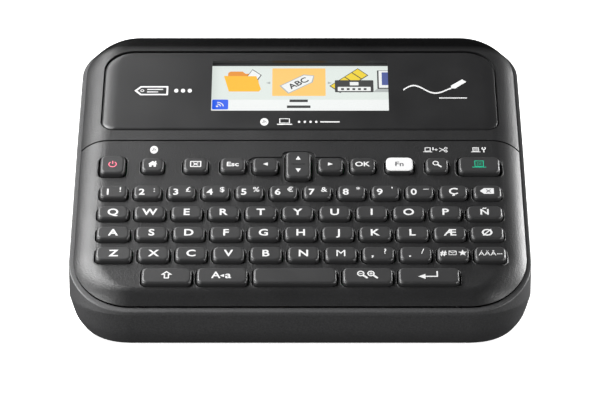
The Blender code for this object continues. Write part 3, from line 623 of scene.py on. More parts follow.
def make_shell(name, part, seam, surface=CASE):
    mesh = bmesh.new()
    loft(mesh, shell_rings(part, seam), False, (False, True))
    shell = add_piece(name, mesh, surface)
    if sum(face.normal.z * face.area for face in shell.data.polygons) < 0:
        shell.data.flip_normals()
    wall = shell.modifiers.new("wall", "SOLIDIFY")
    wall.thickness = SHELL_WALL * MM
    wall.offset = -1
    wall.use_even_offset = True
    baked(shell)
    return shell


def surface_drop(x):
    """The fall of the shells' surface below their plane near the sides."""
    return edge_fall((CASE_HALF - SHELL_INSET - abs(x)) / EDGE_SIDE)


def hole_rim(mesh, x, up, half_x, half_y, radius, lip=0.38, sunk=0.0):
    """The softly rounded edge of a key's opening, following the cover's surface."""
    rings = []
    for grow, height in (
        (lip + 0.25, -0.30),
        (lip, 0.02),
        (lip * 0.72, 0.035),
        (lip * 0.42, -0.01),
        (lip * 0.18, -0.11),
        (lip * 0.04, -0.26),
        (0.0, -0.45),
        (0.0, -SHELL_WALL - 0.25),
    ):
        outline = rounded(half_x + grow, half_y + grow, radius + grow, 7, x, up)
        rings.append([(a, b, height - sunk - surface_drop(a)) for a, b in outline])
    loft(mesh, rings, caps=(False, False))


# Keys: what each is called, where the CAD has it ---------------------------------------------------
SINGLE_KEYS = [
    name
    for name in frame["nodes"]
    if name.startswith("key_") and not name.startswith("key_row")
]
ROW_KEYS = ("key_row_numbers", "key_row_upper", "key_row_middle", "key_row_lower")


def key_tops(node):
    """(X, up, half-width, half-height) of each key in a node, from its bevelled top face."""
    tops = {
        (round(p.x, 2), round(p.y, 2))
        for p in local_points(node, deck_frame())
        if p.z > KEY_TOP - 0.05
    }
    tops = sorted(tops)
    keys = []
    for i in range(0, len(tops), TOP_POINTS):
        xs, ups = zip(*tops[i : i + TOP_POINTS])
        keys.append(
            (
                (min(xs) + max(xs)) / 2,
                (min(ups) + max(ups)) / 2,
                (max(xs) - min(xs)) / 2 + TOP_BEVEL,
                (max(ups) - min(ups)) / 2 + TOP_BEVEL,
            )
        )
    return keys


def key_table():
    """Every key as (name, body, CAD node, X, up, half-width, half-height)."""
    table = []
    for node in SINGLE_KEYS:
        table.append((node, node, node, *key_tops(node)[0]))
    for node in ROW_KEYS:
        for i, place in enumerate(key_tops(node)):
            table.append((f"{node}_{i + 1}", node, node, *place))
    return table


KEY_TABLE = key_table()
KEY_PROFILE = (
    (0.0, -2.55),
    (0.0, -0.3),
    (-0.05, 0.6),
    (-0.13, 1.05),
    (-0.24, 1.36),
    (-0.42, 1.62),
    (-0.66, 1.82),
    (-0.98, 1.95),
    (-1.35, 2.0),
)


def make_key(name, body, node, x, up, half_x, half_y):
    mesh = bmesh.new()
    rings = [
        at_height(
            rounded(half_x + grow, half_y + grow, KEY_CORNER + grow * 0.55, 7), height
        )
        for grow, height in KEY_PROFILE
    ]
    loft(mesh, rings)
    key = add_piece(name + "_cap", mesh, KEYS, deck_frame(x, up), 40)
    if name == "key_up_down":
        slit = cutter_box((-half_x + 2.6, -0.14, 1.75), (half_x - 2.6, 0.14, 3), deck_frame(x, up))
        carve(key, slit)
    flat_normals(key, 40)
    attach(key, body)
    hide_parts(node)
    if name == "key_function":
        pad = bmesh.new()
        levels = ((0.55, 1.3), (0.45, 1.7), (0.42, 1.92), (0.62, 2.03), (0.9, 2.06))
        rings = [
            at_height(rounded(half_x - inset, half_y - inset, KEY_CORNER - inset * 0.6, 7), height)
            for inset, height in levels
        ]
        loft(pad, rings)
        top = add_piece("key_function_white_top", pad, WHITE_KEY, deck_frame(x, up), 40)
        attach(flat_normals(top, 40), body)


WELL_KEYS = ("key_power", "key_print")
CURSOR_KEYS = ("key_left", "key_up_down", "key_right")
CROSS_DEPTH = 0.45


def cursor_cross():
    """The shallow recess round the cursor keys: a long plate crossed by a tall one."""
    place = {row[0]: row[3:] for row in KEY_TABLE}
    left, middle, right = (place[name] for name in CURSOR_KEYS)
    x0 = left[0] - left[2] - 2.0
    x1 = right[0] + right[2] + 2.0
    plates = []
    for half_x, half_y, x, radius in (
        ((x1 - x0) / 2, left[3] + 2.0, (x0 + x1) / 2, 3.6),
        (middle[2] + 2.0, middle[3] + 1.7, middle[0], 3.4),
    ):
        mesh = bmesh.new()
        levels = ((0.0, -CROSS_DEPTH), (0.0, -0.25), (0.1, -0.08), (0.35, 0.02), (0.8, 1.0))
        rings = [
            at_height(rounded(half_x + grow, half_y + grow, radius + grow, 8, x, middle[1]), height)
            for grow, height in levels
        ]
        loft(mesh, rings)
        plates.append(add_piece("cutter", mesh, [], deck_frame()))
    return plates


def make_keyboard_cover():
    cover = make_shell("keyboard_cover_shell", "front", SEAM_Y - SEAM_GAP / 2)
    holes = bmesh.new()
    rims = bmesh.new()
    for name, _, _, x, up, half_x, half_y in KEY_TABLE:
        gap = HOLE_GAP + (0.35 if name in WELL_KEYS else 0.0)
        lip = 0.75 if name in WELL_KEYS else 0.38
        sunk = CROSS_DEPTH if name in CURSOR_KEYS else 0.0
        wide, tall = half_x + gap, half_y + gap
        outline = rounded(wide + 0.2, tall + 0.2, HOLE_CORNER + 0.2, 7, x, up)
        loft(holes, [at_height(outline, -8), at_height(outline, 4)])
        hole_rim(rims, x, up, wide, tall, HOLE_CORNER, lip, sunk)
    for plate in cursor_cross():
        carve(cover, plate)
    carve(cover, add_piece("cutter", holes, [], deck_frame()))
    flat_normals(cover, 30)
    edge = add_piece("key_opening_rims", rims, CASE, deck_frame(), 60)
    for piece in (cover, edge):
        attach(piece, "case")
    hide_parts("keyboard_cover")


# Display --------------------------------------------------------------------------------------------
def panel_outline(half, low, high, low_radius, high_radius, inset_x, inset_y, steps=12):
    """The panel's outline, whose upper corners are rounder than its lower ones."""
    points = []
    corners = (
        (1, low, 1, low_radius, -90),
        (1, high, -1, high_radius, 0),
        (-1, high, -1, high_radius, 90),
        (-1, low, 1, low_radius, 180),
    )
    for side, level, inward, radius, start in corners:
        for i in range(steps + 1):
            angle = math.radians(start + 90 * i / steps)
            rx, ry = max(radius - inset_x, 0.3), max(radius - inset_y, 0.3)
            cx = side * (half - max(radius, inset_x + 0.3))
            cy = level + inward * max(radius, inset_y + 0.3)
            points.append((cx + rx * math.cos(angle), cy + ry * math.sin(angle)))
    return points


def window_box():
    points = local_points("display_panel", display_frame())
    inner = [p for p in points if abs(p.x) < 60]
    return (
        max(p.x for p in inner),
        min(p.y for p in inner),
        max(p.y for p in inner),
    )


def make_display():
    points = local_points("display_panel", display_frame())
    half = max(p.x for p in points)
    low, high = min(p.y for p in points), max(p.y for p in points)
    window_half, window_low, window_high = window_box()

    housing = make_shell("display_housing_shell", "back", SEAM_Y + SEAM_GAP / 2, PAINTED_SHADE_HOUSING)
    pocket = bmesh.new()
    outline = panel_outline(half + 0.45, low - 0.45, high + 0.45, 6.8, 14.0, 0, 0)
    loft(pocket, [at_height(outline, -1.65), at_height(outline, 6)])
    carve(housing, add_piece("cutter", pocket, [], display_frame()))
    grow = 2.5
    hole = cutter_box(
        (-window_half - grow, window_low - grow, -6),
        (window_half + grow, window_high + grow, 3),
        display_frame(),
    )
    carve(housing, hole)
    flat_normals(housing, 30)
    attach(housing, "case")
    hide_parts("display_housing")

    mesh = bmesh.new()
    rings = []
    for inset_x, inset_y, height in (
        (0.35, 0.35, -1.3),
        (0.35, 0.35, -1.05),
        (0.55, 0.42, -0.80),
        (0.95, 0.52, -0.60),
        (1.6, 0.66, -0.42),
        (2.5, 0.82, -0.26),
        (3.6, 1.0, -0.13),
        (4.8, 1.25, -0.05),
        (6.0, 1.6, -0.01),
        (7.0, 2.0, 0.0),
    ):
        outline = panel_outline(half, low, high, 6.4, 13.5, inset_x, inset_y)
        rings.append(at_height(outline, height))
    loft(mesh, rings)
    panel = add_piece("display_panel_plate", mesh, PANEL, display_frame(), 60)
    opening = bmesh.new()
    middle = (window_low + window_high) / 2
    tall = (window_high - window_low) / 2
    outline = rounded(window_half, tall, 0.5, 5, 0, middle)
    loft(opening, [at_height(outline, -3), at_height(outline, 3)])
    carve(panel, add_piece("cutter", opening, [], display_frame()))
    flat_normals(panel, 40)
    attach(panel, "case")
    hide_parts("display_panel")


# Rear cover ------------------------------------------------------------------------------------------
def make_rear_cover():
    top = rim_height(REAR_PROFILE[-1][1])
    outer = [(rear, WALL_FOOT + share * (top - 0.45 - WALL_FOOT)) for share, rear in rear_levels(6)]
    fall = (REAR_PROFILE[-1][1] - COVER_LIP) * math.tan(DISPLAY_SLOPE)
    outer.append((COVER_LIP + 0.1, outer[-1][1] - fall))
    hinge_y, hinge_z = COVER_HINGE
    arc = []
    for i in range(25):
        angle = math.radians(-i * 180 / 24)
        arc.append((hinge_y + BARREL * math.cos(angle), hinge_z + BARREL * math.sin(angle)))
    inner = []
    for i, (y, z) in enumerate(outer):
        before, after = outer[max(i - 1, 0)], outer[min(i + 1, len(outer) - 1)]
        run = Vector((after[0] - before[0], after[1] - before[1])).normalized()
        inner.append((y - run.y * WALL, z + run.x * WALL))
    outline = outer[::-1] + arc + inner
    mesh = bmesh.new()
    loft(mesh, [[(x, y, z) for y, z in outline] for x in (-COVER_HALF, COVER_HALF)])
    cover = add_piece("rear_cover_shell", mesh, LOWER_PAINTED_LIGHT, smooth=30)
    bevel = cover.modifiers.new("edge", "BEVEL")
    bevel.width = 0.35 * MM
    bevel.segments = 3
    bevel.limit_method = "ANGLE"
    bevel.angle_limit = math.radians(50)
    baked(cover)
    notch = bmesh.new()
    rings = []
    for grow, depth in ((0.0, 0.9), (0.5, 0.25), (0.9, -0.1), (1.6, -1.5)):
        outline = rounded(9.0 + grow, 3.6 + grow, 3.0 + grow, 8)
        rings.append([(x, 84.35 - depth - b * 0.13, 68.0 + b) for x, b in outline])
    loft(notch, rings)
    carve(cover, add_piece("cutter", notch, []))
    grips = bmesh.new()
    for i in range(4):
        z = 65.9 + 1.4 * i
        rod_along(grips, "X", -6.5, 6.5, (83.45 - (z - 68.0) * 0.13, z), 0.32, 12)
    carve(cover, add_piece("cutter", grips, []), "UNION")
    pins = bmesh.new()
    for side in (-1, 1):
        low, high = sorted((side * (COVER_HALF - 2), side * (COVER_HALF + GAP + 2.9)))
        rod_along(pins, "X", low, high, COVER_HINGE, PIN, 24)
    carve(cover, add_piece("cutter", pins, []), "UNION")
    ribs = bmesh.new()
    for x in (-60.0, -30.0, 30.0, 60.0):
        spine = inner[6:-8]
        outline = [*spine, *((y - 2.0, z) for y, z in reversed(spine))]
        loft(ribs, [[(x + dx, y + 0.4, z) for y, z in outline] for dx in (-0.6, 0.6)])
    carve(cover, add_piece("cutter", ribs, []), "UNION")
    flat_normals(cover, 30)
    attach(cover, "rear_cover")
    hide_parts("rear_cover")


# Underside, sockets and the pieces inside -----------------------------------------------------------
def rod_along(mesh, axis, low, high, centre, radius, sides):
    """A round rod between two stations along X, Y or Z."""
    turned_rings(mesh, axis, centre, ((radius, low), (radius, high)), sides)


def turned_rings(mesh, axis, centre, profile, sides=48, closed=False):
    """Turns a profile of (radius, station) about an axis; a closed profile makes a ring."""
    rings = []
    for radius, station in profile:
        ring = []
        for a, b in circle(radius, sides, *centre):
            ring.append({"X": (station, a, b), "Y": (a, station, b), "Z": (a, b, station)}[axis])
        rings.append(ring)
    if closed:
        loft(mesh, rings + rings[:1], caps=(False, False))
        bmesh.ops.remove_doubles(mesh, verts=mesh.verts, dist=1e-6)
    else:
        loft(mesh, rings)


def body_of(node):
    bodies = frame["record"]["behaviour"]["bodies"]
    return next(body for body, nodes in bodies.items() if node in nodes)


def finish_piece(piece, node, replace=True):
    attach(piece, body_of(node))
    if replace:
        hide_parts(node)
    return piece


def middle_of(node):
    low, high = (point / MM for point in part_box(node))
    return low, high, (low + high) / 2


def refined(node, width, surface, angle=30.0, segments=2):
    """The CAD's own shape with its sharp edges rounded."""
    mesh = bmesh.new()
    mesh.from_mesh(frame["nodes"][node].data)
    bmesh.ops.remove_doubles(mesh, verts=mesh.verts, dist=1e-6)
    bmesh.ops.dissolve_limit(
        mesh, angle_limit=math.radians(1), verts=mesh.verts, edges=mesh.edges
    )
    bmesh.ops.scale(mesh, vec=(1 / MM,) * 3, verts=mesh.verts)
    piece = add_piece(node + "_moulding", mesh, surface)
    bevel = piece.modifiers.new("edge", "BEVEL")
    bevel.width = width * MM
    bevel.segments = segments
    bevel.limit_method = "ANGLE"
    bevel.angle_limit = math.radians(angle)
    baked(piece)
    return finish_piece(flat_normals(piece, 40), node)


def turned(node, axis, profile, surface, sides=48, closed=False, suffix="_turning", replace=True):
    """A turned piece on its CAD node's axis, with stations counted from the node's low end."""
    low, _, middle = middle_of(node)
    start = {"X": low.x, "Y": low.y, "Z": low.z}[axis]
    centre = {"X": (middle.y, middle.z), "Y": (middle.x, middle.z), "Z": (middle.x, middle.y)}[axis]
    mesh = bmesh.new()
    turned_rings(mesh, axis, centre, [(r, start + along) for r, along in profile], sides, closed)
    piece = add_piece(node + suffix, mesh, surface, smooth=30)
    return finish_piece(piece, node, replace)


def make_underside():
    for i in range(1, 5):
        foot = f"rubber_foot_{i}"
        low, high, _ = middle_of(foot)
        radius, tall = (high.x - low.x) / 2, high.z - low.z
        turned(foot, "Z", ((radius - 2.6, 0.35), (radius - 2.2, 0.0), (radius - 0.9, 0.0),
                           (radius - 0.25, 0.25), (radius, 0.9), (radius, tall)), RUBBER, 56)
        screw = f"case_screw_{i}"
        low, high, middle = middle_of(screw)
        radius, tall = (high.x - low.x) / 2, high.z - low.z
        piece = turned(screw, "Z", ((radius - 1.3, 0.0), (radius - 0.5, 0.18), (radius, 0.8), (radius, 2.2),
                                    (1.45, 2.25), (1.45, tall - 1.2), (0.6, tall)), STEEL, 40)
        for x, y in ((1.7, 0.3), (0.3, 1.7)):
            cross = bmesh.new()
            box(cross, (middle.x - x, middle.y - y, low.z - 1), (middle.x + x, middle.y + y, low.z + 1.1))
            carve(piece, add_piece("cutter", cross, []))
        flat_normals(piece, 30)

    low, high, middle = middle_of("battery_door")
    half = (high - low) / 2
    mesh = bmesh.new()
    levels = ((0.45, low.z), (0.15, low.z + 0.12), (0.0, low.z + 0.4), (0.0, high.z))
    loft(mesh, [
        at_height(rounded(half.x - inset, half.y - inset, 2.0, 6, middle.x, middle.y), z)
        for inset, z in levels
    ])
    door = add_piece("battery_door_plate", mesh, LOWER_PAINTED_LIGHT, smooth=30)
    pad = bmesh.new()
    up = high.y - 9.0
    levels = ((1.1, low.z - 0.5), (0.5, low.z - 0.01), (0.15, low.z + 0.3), (0.0, low.z + 0.6))
    loft(pad, [
        at_height(rounded(9.0 + grow, 5.0 + grow, 2.6 + grow, 8, 0, up), z)
        for grow, z in levels
    ])
    carve(door, add_piece("cutter", pad, []))
    grips = bmesh.new()
    for i in range(5):
        rod_along(grips, "X", -6.5, 6.5, (up - 3.2 + 1.6 * i, low.z + 0.6), 0.35, 12)
    carve(door, add_piece("cutter", grips, []), "UNION")
    arrow = bmesh.new()
    loft(arrow, [at_height([(x, up - 9.5 + y) for x, y in ((-2.2, -1.2), (2.2, -1.2), (0, 1.6))], z)
                 for z in (low.z - 1, low.z + 0.25)])
    carve(door, add_piece("cutter", arrow, []))
    finish_piece(flat_normals(door, 30), "battery_door")


def make_sockets():
    for node, round_mouth in (("usb_socket", False), ("power_socket", True)):
        low, high, middle = middle_of(node)
        half = (high - low) / 2
        radius = 0.9 if round_mouth else 0.6
        mesh = bmesh.new()
        outline = [(a, b) for a, b in rounded(half.y, half.z, radius, 6, middle.y, middle.z)]
        loft(mesh, [[(x, a, b) for a, b in outline] for x in (low.x, high.x)])
        shell = add_piece(node + "_shell", mesh, CASSETTE if round_mouth else STEEL, smooth=30)
        mouth = bmesh.new()
        if round_mouth:
            inner = circle(half.y - 1.1, 40, middle.y, middle.z)
        else:
            inner = rounded(half.y - 0.75, half.z - 0.75, 0.5, 5, middle.y, middle.z)
        loft(mouth, [[(x, a, b) for a, b in inner] for x in (low.x + 2, high.x + 5)])
        carve(shell, add_piece("cutter", mouth, []))
        bevel = shell.modifiers.new("edge", "BEVEL")
        bevel.width = 0.12 * MM
        bevel.segments = 2
        bevel.limit_method = "ANGLE"
        baked(shell)
        finish_piece(flat_normals(shell, 30), node)
        core = bmesh.new()
        if round_mouth:
            pin = ((1.0, low.x + 1.5), (1.0, high.x - 1.6), (0.7, high.x - 1.1), (0.3, high.x - 1.0))
            turned_rings(core, "X", (middle.y, middle.z), pin, 24)
        else:
            near = (low.x + 1.5, middle.y - half.y + 2.0, middle.z - 0.35)
            box(core, near, (high.x - 0.8, middle.y + half.y - 2.0, middle.z + 0.35))
        surface = STEEL if round_mouth else CASSETTE
        finish_piece(add_piece(node + "_core", core, surface, smooth=30), node, False)


def lying(node):
    """Radius and length of a round piece that lies along Y."""
    low, high, _ = middle_of(node)
    return (high.z - low.z) / 2, high.y - low.y


def make_insides():
    for node, width, surface in (
        ("mechanism_frame", 0.2, STEEL),
        ("print_head", 0.35, HEAT_SINK),
        ("cutter_blade", 0.12, STEEL),
        ("cassette_case", 0.6, CASSETTE),
        ("main_board", 0.15, BOARD),
        ("keypad_board", 0.15, BOARD),
        ("battery_contacts", 0.2, STEEL),
        ("lcd_module", 0.25, STEEL),
        ("platen_gear", 0.1, NYLON),
        ("idler_gear", 0.1, NYLON),
        ("motor_pinion", 0.1, NYLON),
    ):
        refined(node, width, surface)
    for i in range(1, 7):
        r, length = lying(f"battery_cell_{i}")
        turned(f"battery_cell_{i}", "Y", (
            (r - 0.9, 0.0), (r - 0.25, 0.15), (r, 0.6), (r, 2.6), (r - 0.12, 2.8), (r, 3.0),
            (r, length - 2.4), (r - 0.3, length - 1.9), (r - 1.6, length - 1.6),
            (2.6, length - 1.5), (2.5, length - 0.25), (2.2, length),
        ), CELL, 48)
    r, length = lying("drive_motor")
    body = 24.0
    turned("drive_motor", "Y", (
        (r - 4.5, 0.0), (r - 1.2, 0.25), (r - 0.3, 0.6), (r, 1.2), (r, body - 6.5),
        (r - 0.2, body - 6.3), (r - 0.2, body - 5.7), (r, body - 5.5), (r, body - 0.8),
        (r - 0.6, body - 0.15), (3.2, body), (3.2, body + 0.15), (1.45, body + 0.2),
        (1.45, length - 0.4), (1.1, length),
    ), STEEL, 48)
    r, length = lying("platen_roller")
    turned("platen_roller", "Y", (
        (1.2, 0.0), (1.45, 0.3), (1.45, 3.0), (r - 0.6, 3.05), (r, 3.5), (r, 29.0),
        (r - 0.5, 29.45), (1.45, 29.5), (1.45, length - 0.3), (1.2, length),
    ), RUBBER, 48)
    for spool, flange in (("tape_spool", 0.0), ("ribbon_spool", 0.6), ("ribbon_takeup_spool", 0.6)):
        r, length = lying(spool)
        turned(spool, "Y", (
            (4.05, 0.0), (r - 0.15, 0.0), (r, 0.2), (r, 0.9), (r - flange, 1.0),
            (r - flange, length - 1.0), (r, length - 0.9), (r, length - 0.2), (r - 0.15, length),
            (4.05, length),
        ), TAPE, 56, True)
        turned(spool, "Y", ((4.0, 0.0), (4.55, 0.0), (4.55, length), (4.0, length)), NYLON, 40, True,
               suffix="_hub", replace=False)


# Printing: legends and pictograms, as thin closed solids -----------------------------------------------
def cap_height(font_size=1.0):
    """Height of a capital letter in the built-in font, at a font size."""
    curve = bpy.data.curves.new("measure", "FONT")
    curve.body = "H"
    curve.size = font_size
    probe = bpy.data.objects.new("measure", curve)
    bpy.context.scene.collection.objects.link(probe)
    bpy.context.view_layer.update()
    height = probe.dimensions.y
    bpy.data.objects.remove(probe)
    return height


CAP = cap_height()


class Print:
    """One colour of printing on one surface, gathered in a single mesh."""

    def __init__(self, thick=INK):
        self.mesh = bmesh.new()
        self.thick = thick

    def solid(self, outline, level=0.0):
        loft(self.mesh, [at_height(outline, level - self.thick), at_height(outline, level + self.thick)])
        return self

    def band(self, outer, inner, level=0.0, closed=True):
        """The strip between two equal outlines."""
        low, high = level - self.thick, level + self.thick
        rings = [at_height(outer, low), at_height(outer, high), at_height(inner, high), at_height(inner, low)]
        rows = [[self.mesh.verts.new(point) for point in ring] for ring in rings]
        count = len(outer)
        for i in range(count if closed else count - 1):
            j = (i + 1) % count
            for near, far in zip(rows, rows[1:] + rows[:1]):
                self.mesh.faces.new((near[i], near[j], far[j], far[i]))
        if not closed:
            for end in (0, -1):
                self.mesh.faces.new([row[end] for row in rows])
        return self

    def bar(self, x0, y0, x1, y1, width, level=0.0):
        """A straight stroke with square ends."""
        run = Vector((x1 - x0, y1 - y0)).normalized() * width / 2
        across = Vector((-run.y, run.x))
        ends = (Vector((x0, y0)) - run, Vector((x1, y1)) + run)
        outline = [ends[0] - across, ends[1] - across, ends[1] + across, ends[0] + across]
        return self.solid([tuple(point) for point in outline], level)

    def ring(self, x, y, radius, width, start=0.0, sweep=360.0, level=0.0):
        steps = max(6, int(sweep / 12))
        full = sweep >= 360
        turns = [math.radians(start + sweep * i / steps) for i in range(steps if full else steps + 1)]
        outer, inner = (
            [(x + r * math.cos(t), y + r * math.sin(t)) for t in turns]
            for r in (radius + width / 2, radius - width / 2)
        )
        return self.band(outer, inner, level, full)

    def disc(self, x, y, radius, level=0.0, tall=1.0):
        return self.solid([(x + a, y + b * tall) for a, b in circle(radius, 28)], level)

    def frame(self, x, y, half_x, half_y, width, level=0.0, radius=0.25):
        outer = rounded(half_x, half_y, radius, 3, x, y)
        inner = rounded(half_x - width, half_y - width, max(radius - width, 0.05), 3, x, y)
        return self.band(outer, inner, level)

    def patch(self, x, y, half_x, half_y, radius=0.2, level=0.0):
        return self.solid(rounded(half_x, half_y, radius, 4, x, y), level)

    def text(self, words, height, x=0.0, y=0.0, bold=0.03, wide=1.0, level=0.0, turn=0.0):
        """Words whose capitals are centred on (x, y)."""
        curve = bpy.data.curves.new("words", "FONT")
        curve.body = words
        curve.size = height / CAP
        curve.offset = bold * height
        curve.extrude = self.thick
        curve.resolution_u = 4
        writer = bpy.data.objects.new("words", curve)
        bpy.context.scene.collection.objects.link(writer)
        bpy.context.view_layer.update()
        graph = bpy.context.evaluated_depsgraph_get()
        data = bpy.data.meshes.new_from_object(writer.evaluated_get(graph))
        middle = (min(v.co.x for v in data.vertices) + max(v.co.x for v in data.vertices)) / 2
        data.transform(
            Matrix.Translation((x, y, level))
            @ Matrix.Rotation(math.radians(turn), 4, "Z")
            @ Matrix.Diagonal((wide, 1, 1, 1))
            @ Matrix.Translation((-middle, -height / 2, 0))
        )
        self.mesh.from_mesh(data)
        bpy.data.objects.remove(writer)
        bpy.data.meshes.remove(data)
        return self

    def put(self, name, ink, place, body, slot):
        bmesh.ops.remove_doubles(self.mesh, verts=self.mesh.verts, dist=1e-5)
        piece = add_piece(name, self.mesh, ink, place, 30)
        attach(piece, body)
        return piece


def triangle(x, y, size, turn):
    """A solid arrowhead; turn 0 points right and 90 points up."""
    turns = [math.radians(turn + step) for step in (0, 130, 230)]
    return [(x + size * math.cos(t), y + size * math.sin(t)) for t in turns]


def draw_power(ink):
    ink.ring(0, -0.1, 1.65, 0.42, 125, 290)
    ink.bar(0, 0.35, 0, 1.75, 0.42)


def draw_home(ink):
    ink.solid([(-2.15, -0.1), (2.15, -0.1), (0, 1.95)])
    ink.solid([(-1.5, -1.75), (-0.45, -1.75), (-0.45, -0.2), (-1.5, -0.2)], 0.004)
    ink.solid([(0.45, -1.75), (1.5, -1.75), (1.5, -0.2), (0.45, -0.2)], 0.004)
    ink.solid([(-0.5, -0.75), (0.5, -0.75), (0.5, -0.2), (-0.5, -0.2)], 0.008)
    ink.solid([(0.95, 0.5), (1.55, 0.5), (1.55, 1.85), (0.95, 1.85)], 0.012)


def draw_cancel(ink):
    ink.frame(0, 0, 2.5, 1.85, 0.5)
    for slant in (-1, 1):
        ink.bar(-0.95, -0.75 * slant, 0.95, 0.75 * slant, 0.42, 0.004 * slant)


def draw_lens(ink, x=0.0, y=0.0, size=1.0, sign=""):
    ink.ring(x - 0.5 * size, y + 0.55 * size, 1.15 * size, 0.5 * size)
    ink.bar(x + 0.55 * size, y - 0.5 * size, x + 1.75 * size, y - 1.6 * size, 0.75 * size, 0.004)
    if sign:
        ink.bar(x - 1.0 * size, y + 0.55 * size, x, y + 0.55 * size, 0.28 * size, 0.008)
    if sign == "+":
        ink.bar(x - 0.5 * size, y, x - 0.5 * size, y + 1.1 * size, 0.28 * size, 0.012)


def draw_print(ink):
    ink.frame(0, 0.25, 2.1, 1.95, 0.42)
    ink.bar(-2.9, -2.0, 2.9, -2.0, 0.45, 0.004)
    for i in range(3):
        ink.bar(-1.15, 1.0 - 0.75 * i, 1.15, 1.0 - 0.75 * i, 0.11, 0.008)
        ink.bar(-0.75 + 0.75 * i, -0.9, -0.75 + 0.75 * i, 1.4, 0.11, 0.012)


def draw_shift(ink):
    outline = [(0, 2.3), (2.5, 0.1), (1.15, 0.1), (1.15, -2.1), (-1.15, -2.1), (-1.15, 0.1), (-2.5, 0.1)]
    inner = [(0, 1.5), (1.25, 0.5), (0.6, 0.5), (0.6, -1.55), (-0.6, -1.55), (-0.6, 0.5), (-1.25, 0.5)]
    ink.band(outline, inner)


def draw_caps(ink):
    ink.text("A", 3.7, -2.7, 0, 0.02, 1.05)
    ink.text("a", 3.7, 2.6, 0, 0.02, 1.15, 0.004)
    ink.solid(triangle(0.15, -0.4, 1.1, 180), 0.008)


def draw_zoom(ink):
    draw_lens(ink, -2.4, 0.2, 1.15, "-")
    draw_lens(ink, 2.0, 0.2, 1.15, "+")


def draw_enter(ink):
    ink.bar(-1.9, -0.9, 3.6, -0.9, 0.62)
    ink.bar(3.6, -0.9, 3.6, 1.9, 0.62, 0.004)
    ink.solid(triangle(-2.7, -0.9, 1.9, 180), 0.008)


def draw_backspace(ink):
    ink.solid([(-3.3, 0), (-1.5, -1.75), (2.9, -1.75), (2.9, 1.75), (-1.5, 1.75)])


def draw_symbols(ink):
    ink.text("#", 2.9, -4.3, 0, 0.04, 1.05)
    ink.frame(-0.3, 0, 1.75, 1.3, 0.3, 0.004)
    for side in (-1, 1):
        ink.bar(-0.3 + 1.3 * side, 0.85, -0.3, -0.15, 0.28, 0.008 + 0.004 * side)
    star = []
    for i in range(10):
        radius = 2.0 if i % 2 == 0 else 0.82
        angle = math.radians(90 + 36 * i)
        star.append((4.1 + radius * math.cos(angle), radius * math.sin(angle)))
    ink.solid(star, 0.016)


def draw_accents(ink):
    ink.text("ÁÄÂ", 2.4, -1.2, -0.3, 0.0, 1.1)
    for i in range(3):
        ink.disc(3.3 + 0.85 * i, -0.55, 0.3, 0.004)


KEY_ICONS = {
    "key_power": (draw_power, PINK_INK),
    "key_home": (draw_home, WHITE_INK),
    "key_cancel": (draw_cancel, WHITE_INK),
    "key_escape": (lambda ink: ink.text("Esc", 2.6, wide=1.12), WHITE_INK),
    "key_left": (lambda ink: ink.solid(triangle(0.25, 0, 1.35, 180)), WHITE_INK),
    "key_right": (lambda ink: ink.solid(triangle(-0.25, 0, 1.35, 0)), WHITE_INK),
    "key_ok": (lambda ink: ink.text("OK", 2.75, wide=1.1), WHITE_INK),
    "key_function": (lambda ink: ink.text("Fn", 2.7, wide=1.08, bold=0.02), GREY_INK),
    "key_search": (draw_lens, WHITE_INK),
    "key_print": (draw_print, GREEN_INK),
    "key_shift": (draw_shift, WHITE_INK),
    "key_caps": (draw_caps, WHITE_INK),
    "key_zoom": (draw_zoom, WHITE_INK),
    "key_enter": (draw_enter, WHITE_INK),
}
NUMBER_LEGENDS = ("1!", "2:", "3£", "4$", "5%", "6€", "7&", "8*", "9'", "0–")
LETTER_ROWS = {
    "key_row_upper": "QWERTYUIOPÑ",
    "key_row_middle": "ASDFGHJKLÆØ",
    "key_row_lower": "ZXCVBNM",
}


def key_place(name):
    """The frame on top of a key, and the body that it rides on."""
    for key, body, _, x, up, _, _ in KEY_TABLE:
        if key == name:
            return deck_frame(x, up, KEY_TOP), body
    raise KeyError(name)


def print_key(name, draw, ink=WHITE_INK, lift=0.0):
    mark = Print()
    draw(mark)
    place, body = key_place(name)
    slot = "white_key" if name == "key_function" else "keys"
    return mark.put(name + "_legend", ink, place @ Matrix.Translation((0, 0, lift)), body, slot)


def print_letter(name, letter):
    """A wide bold capital, with its accent or tail kept inside the key's top."""
    height = 3.3 if letter in "Ñ" else 3.7
    bold = 0.0 if letter == "M" else 0.03
    print_key(name, lambda ink: ink.text(letter, height, 0, -0.1, bold, 1.12))


def print_pair(name, main, second):
    """A main character low on the left, and a smaller second one high on the right."""

    def draw(ink):
        ink.text(main, 3.5, -2.5, -0.45, 0.03, 1.08)
        level = 1.5 if second == "–" else 1.0
        ink.text(second, 2.8, 3.0, level, 0.012, 1.08, 0.004)

    print_key(name, draw)


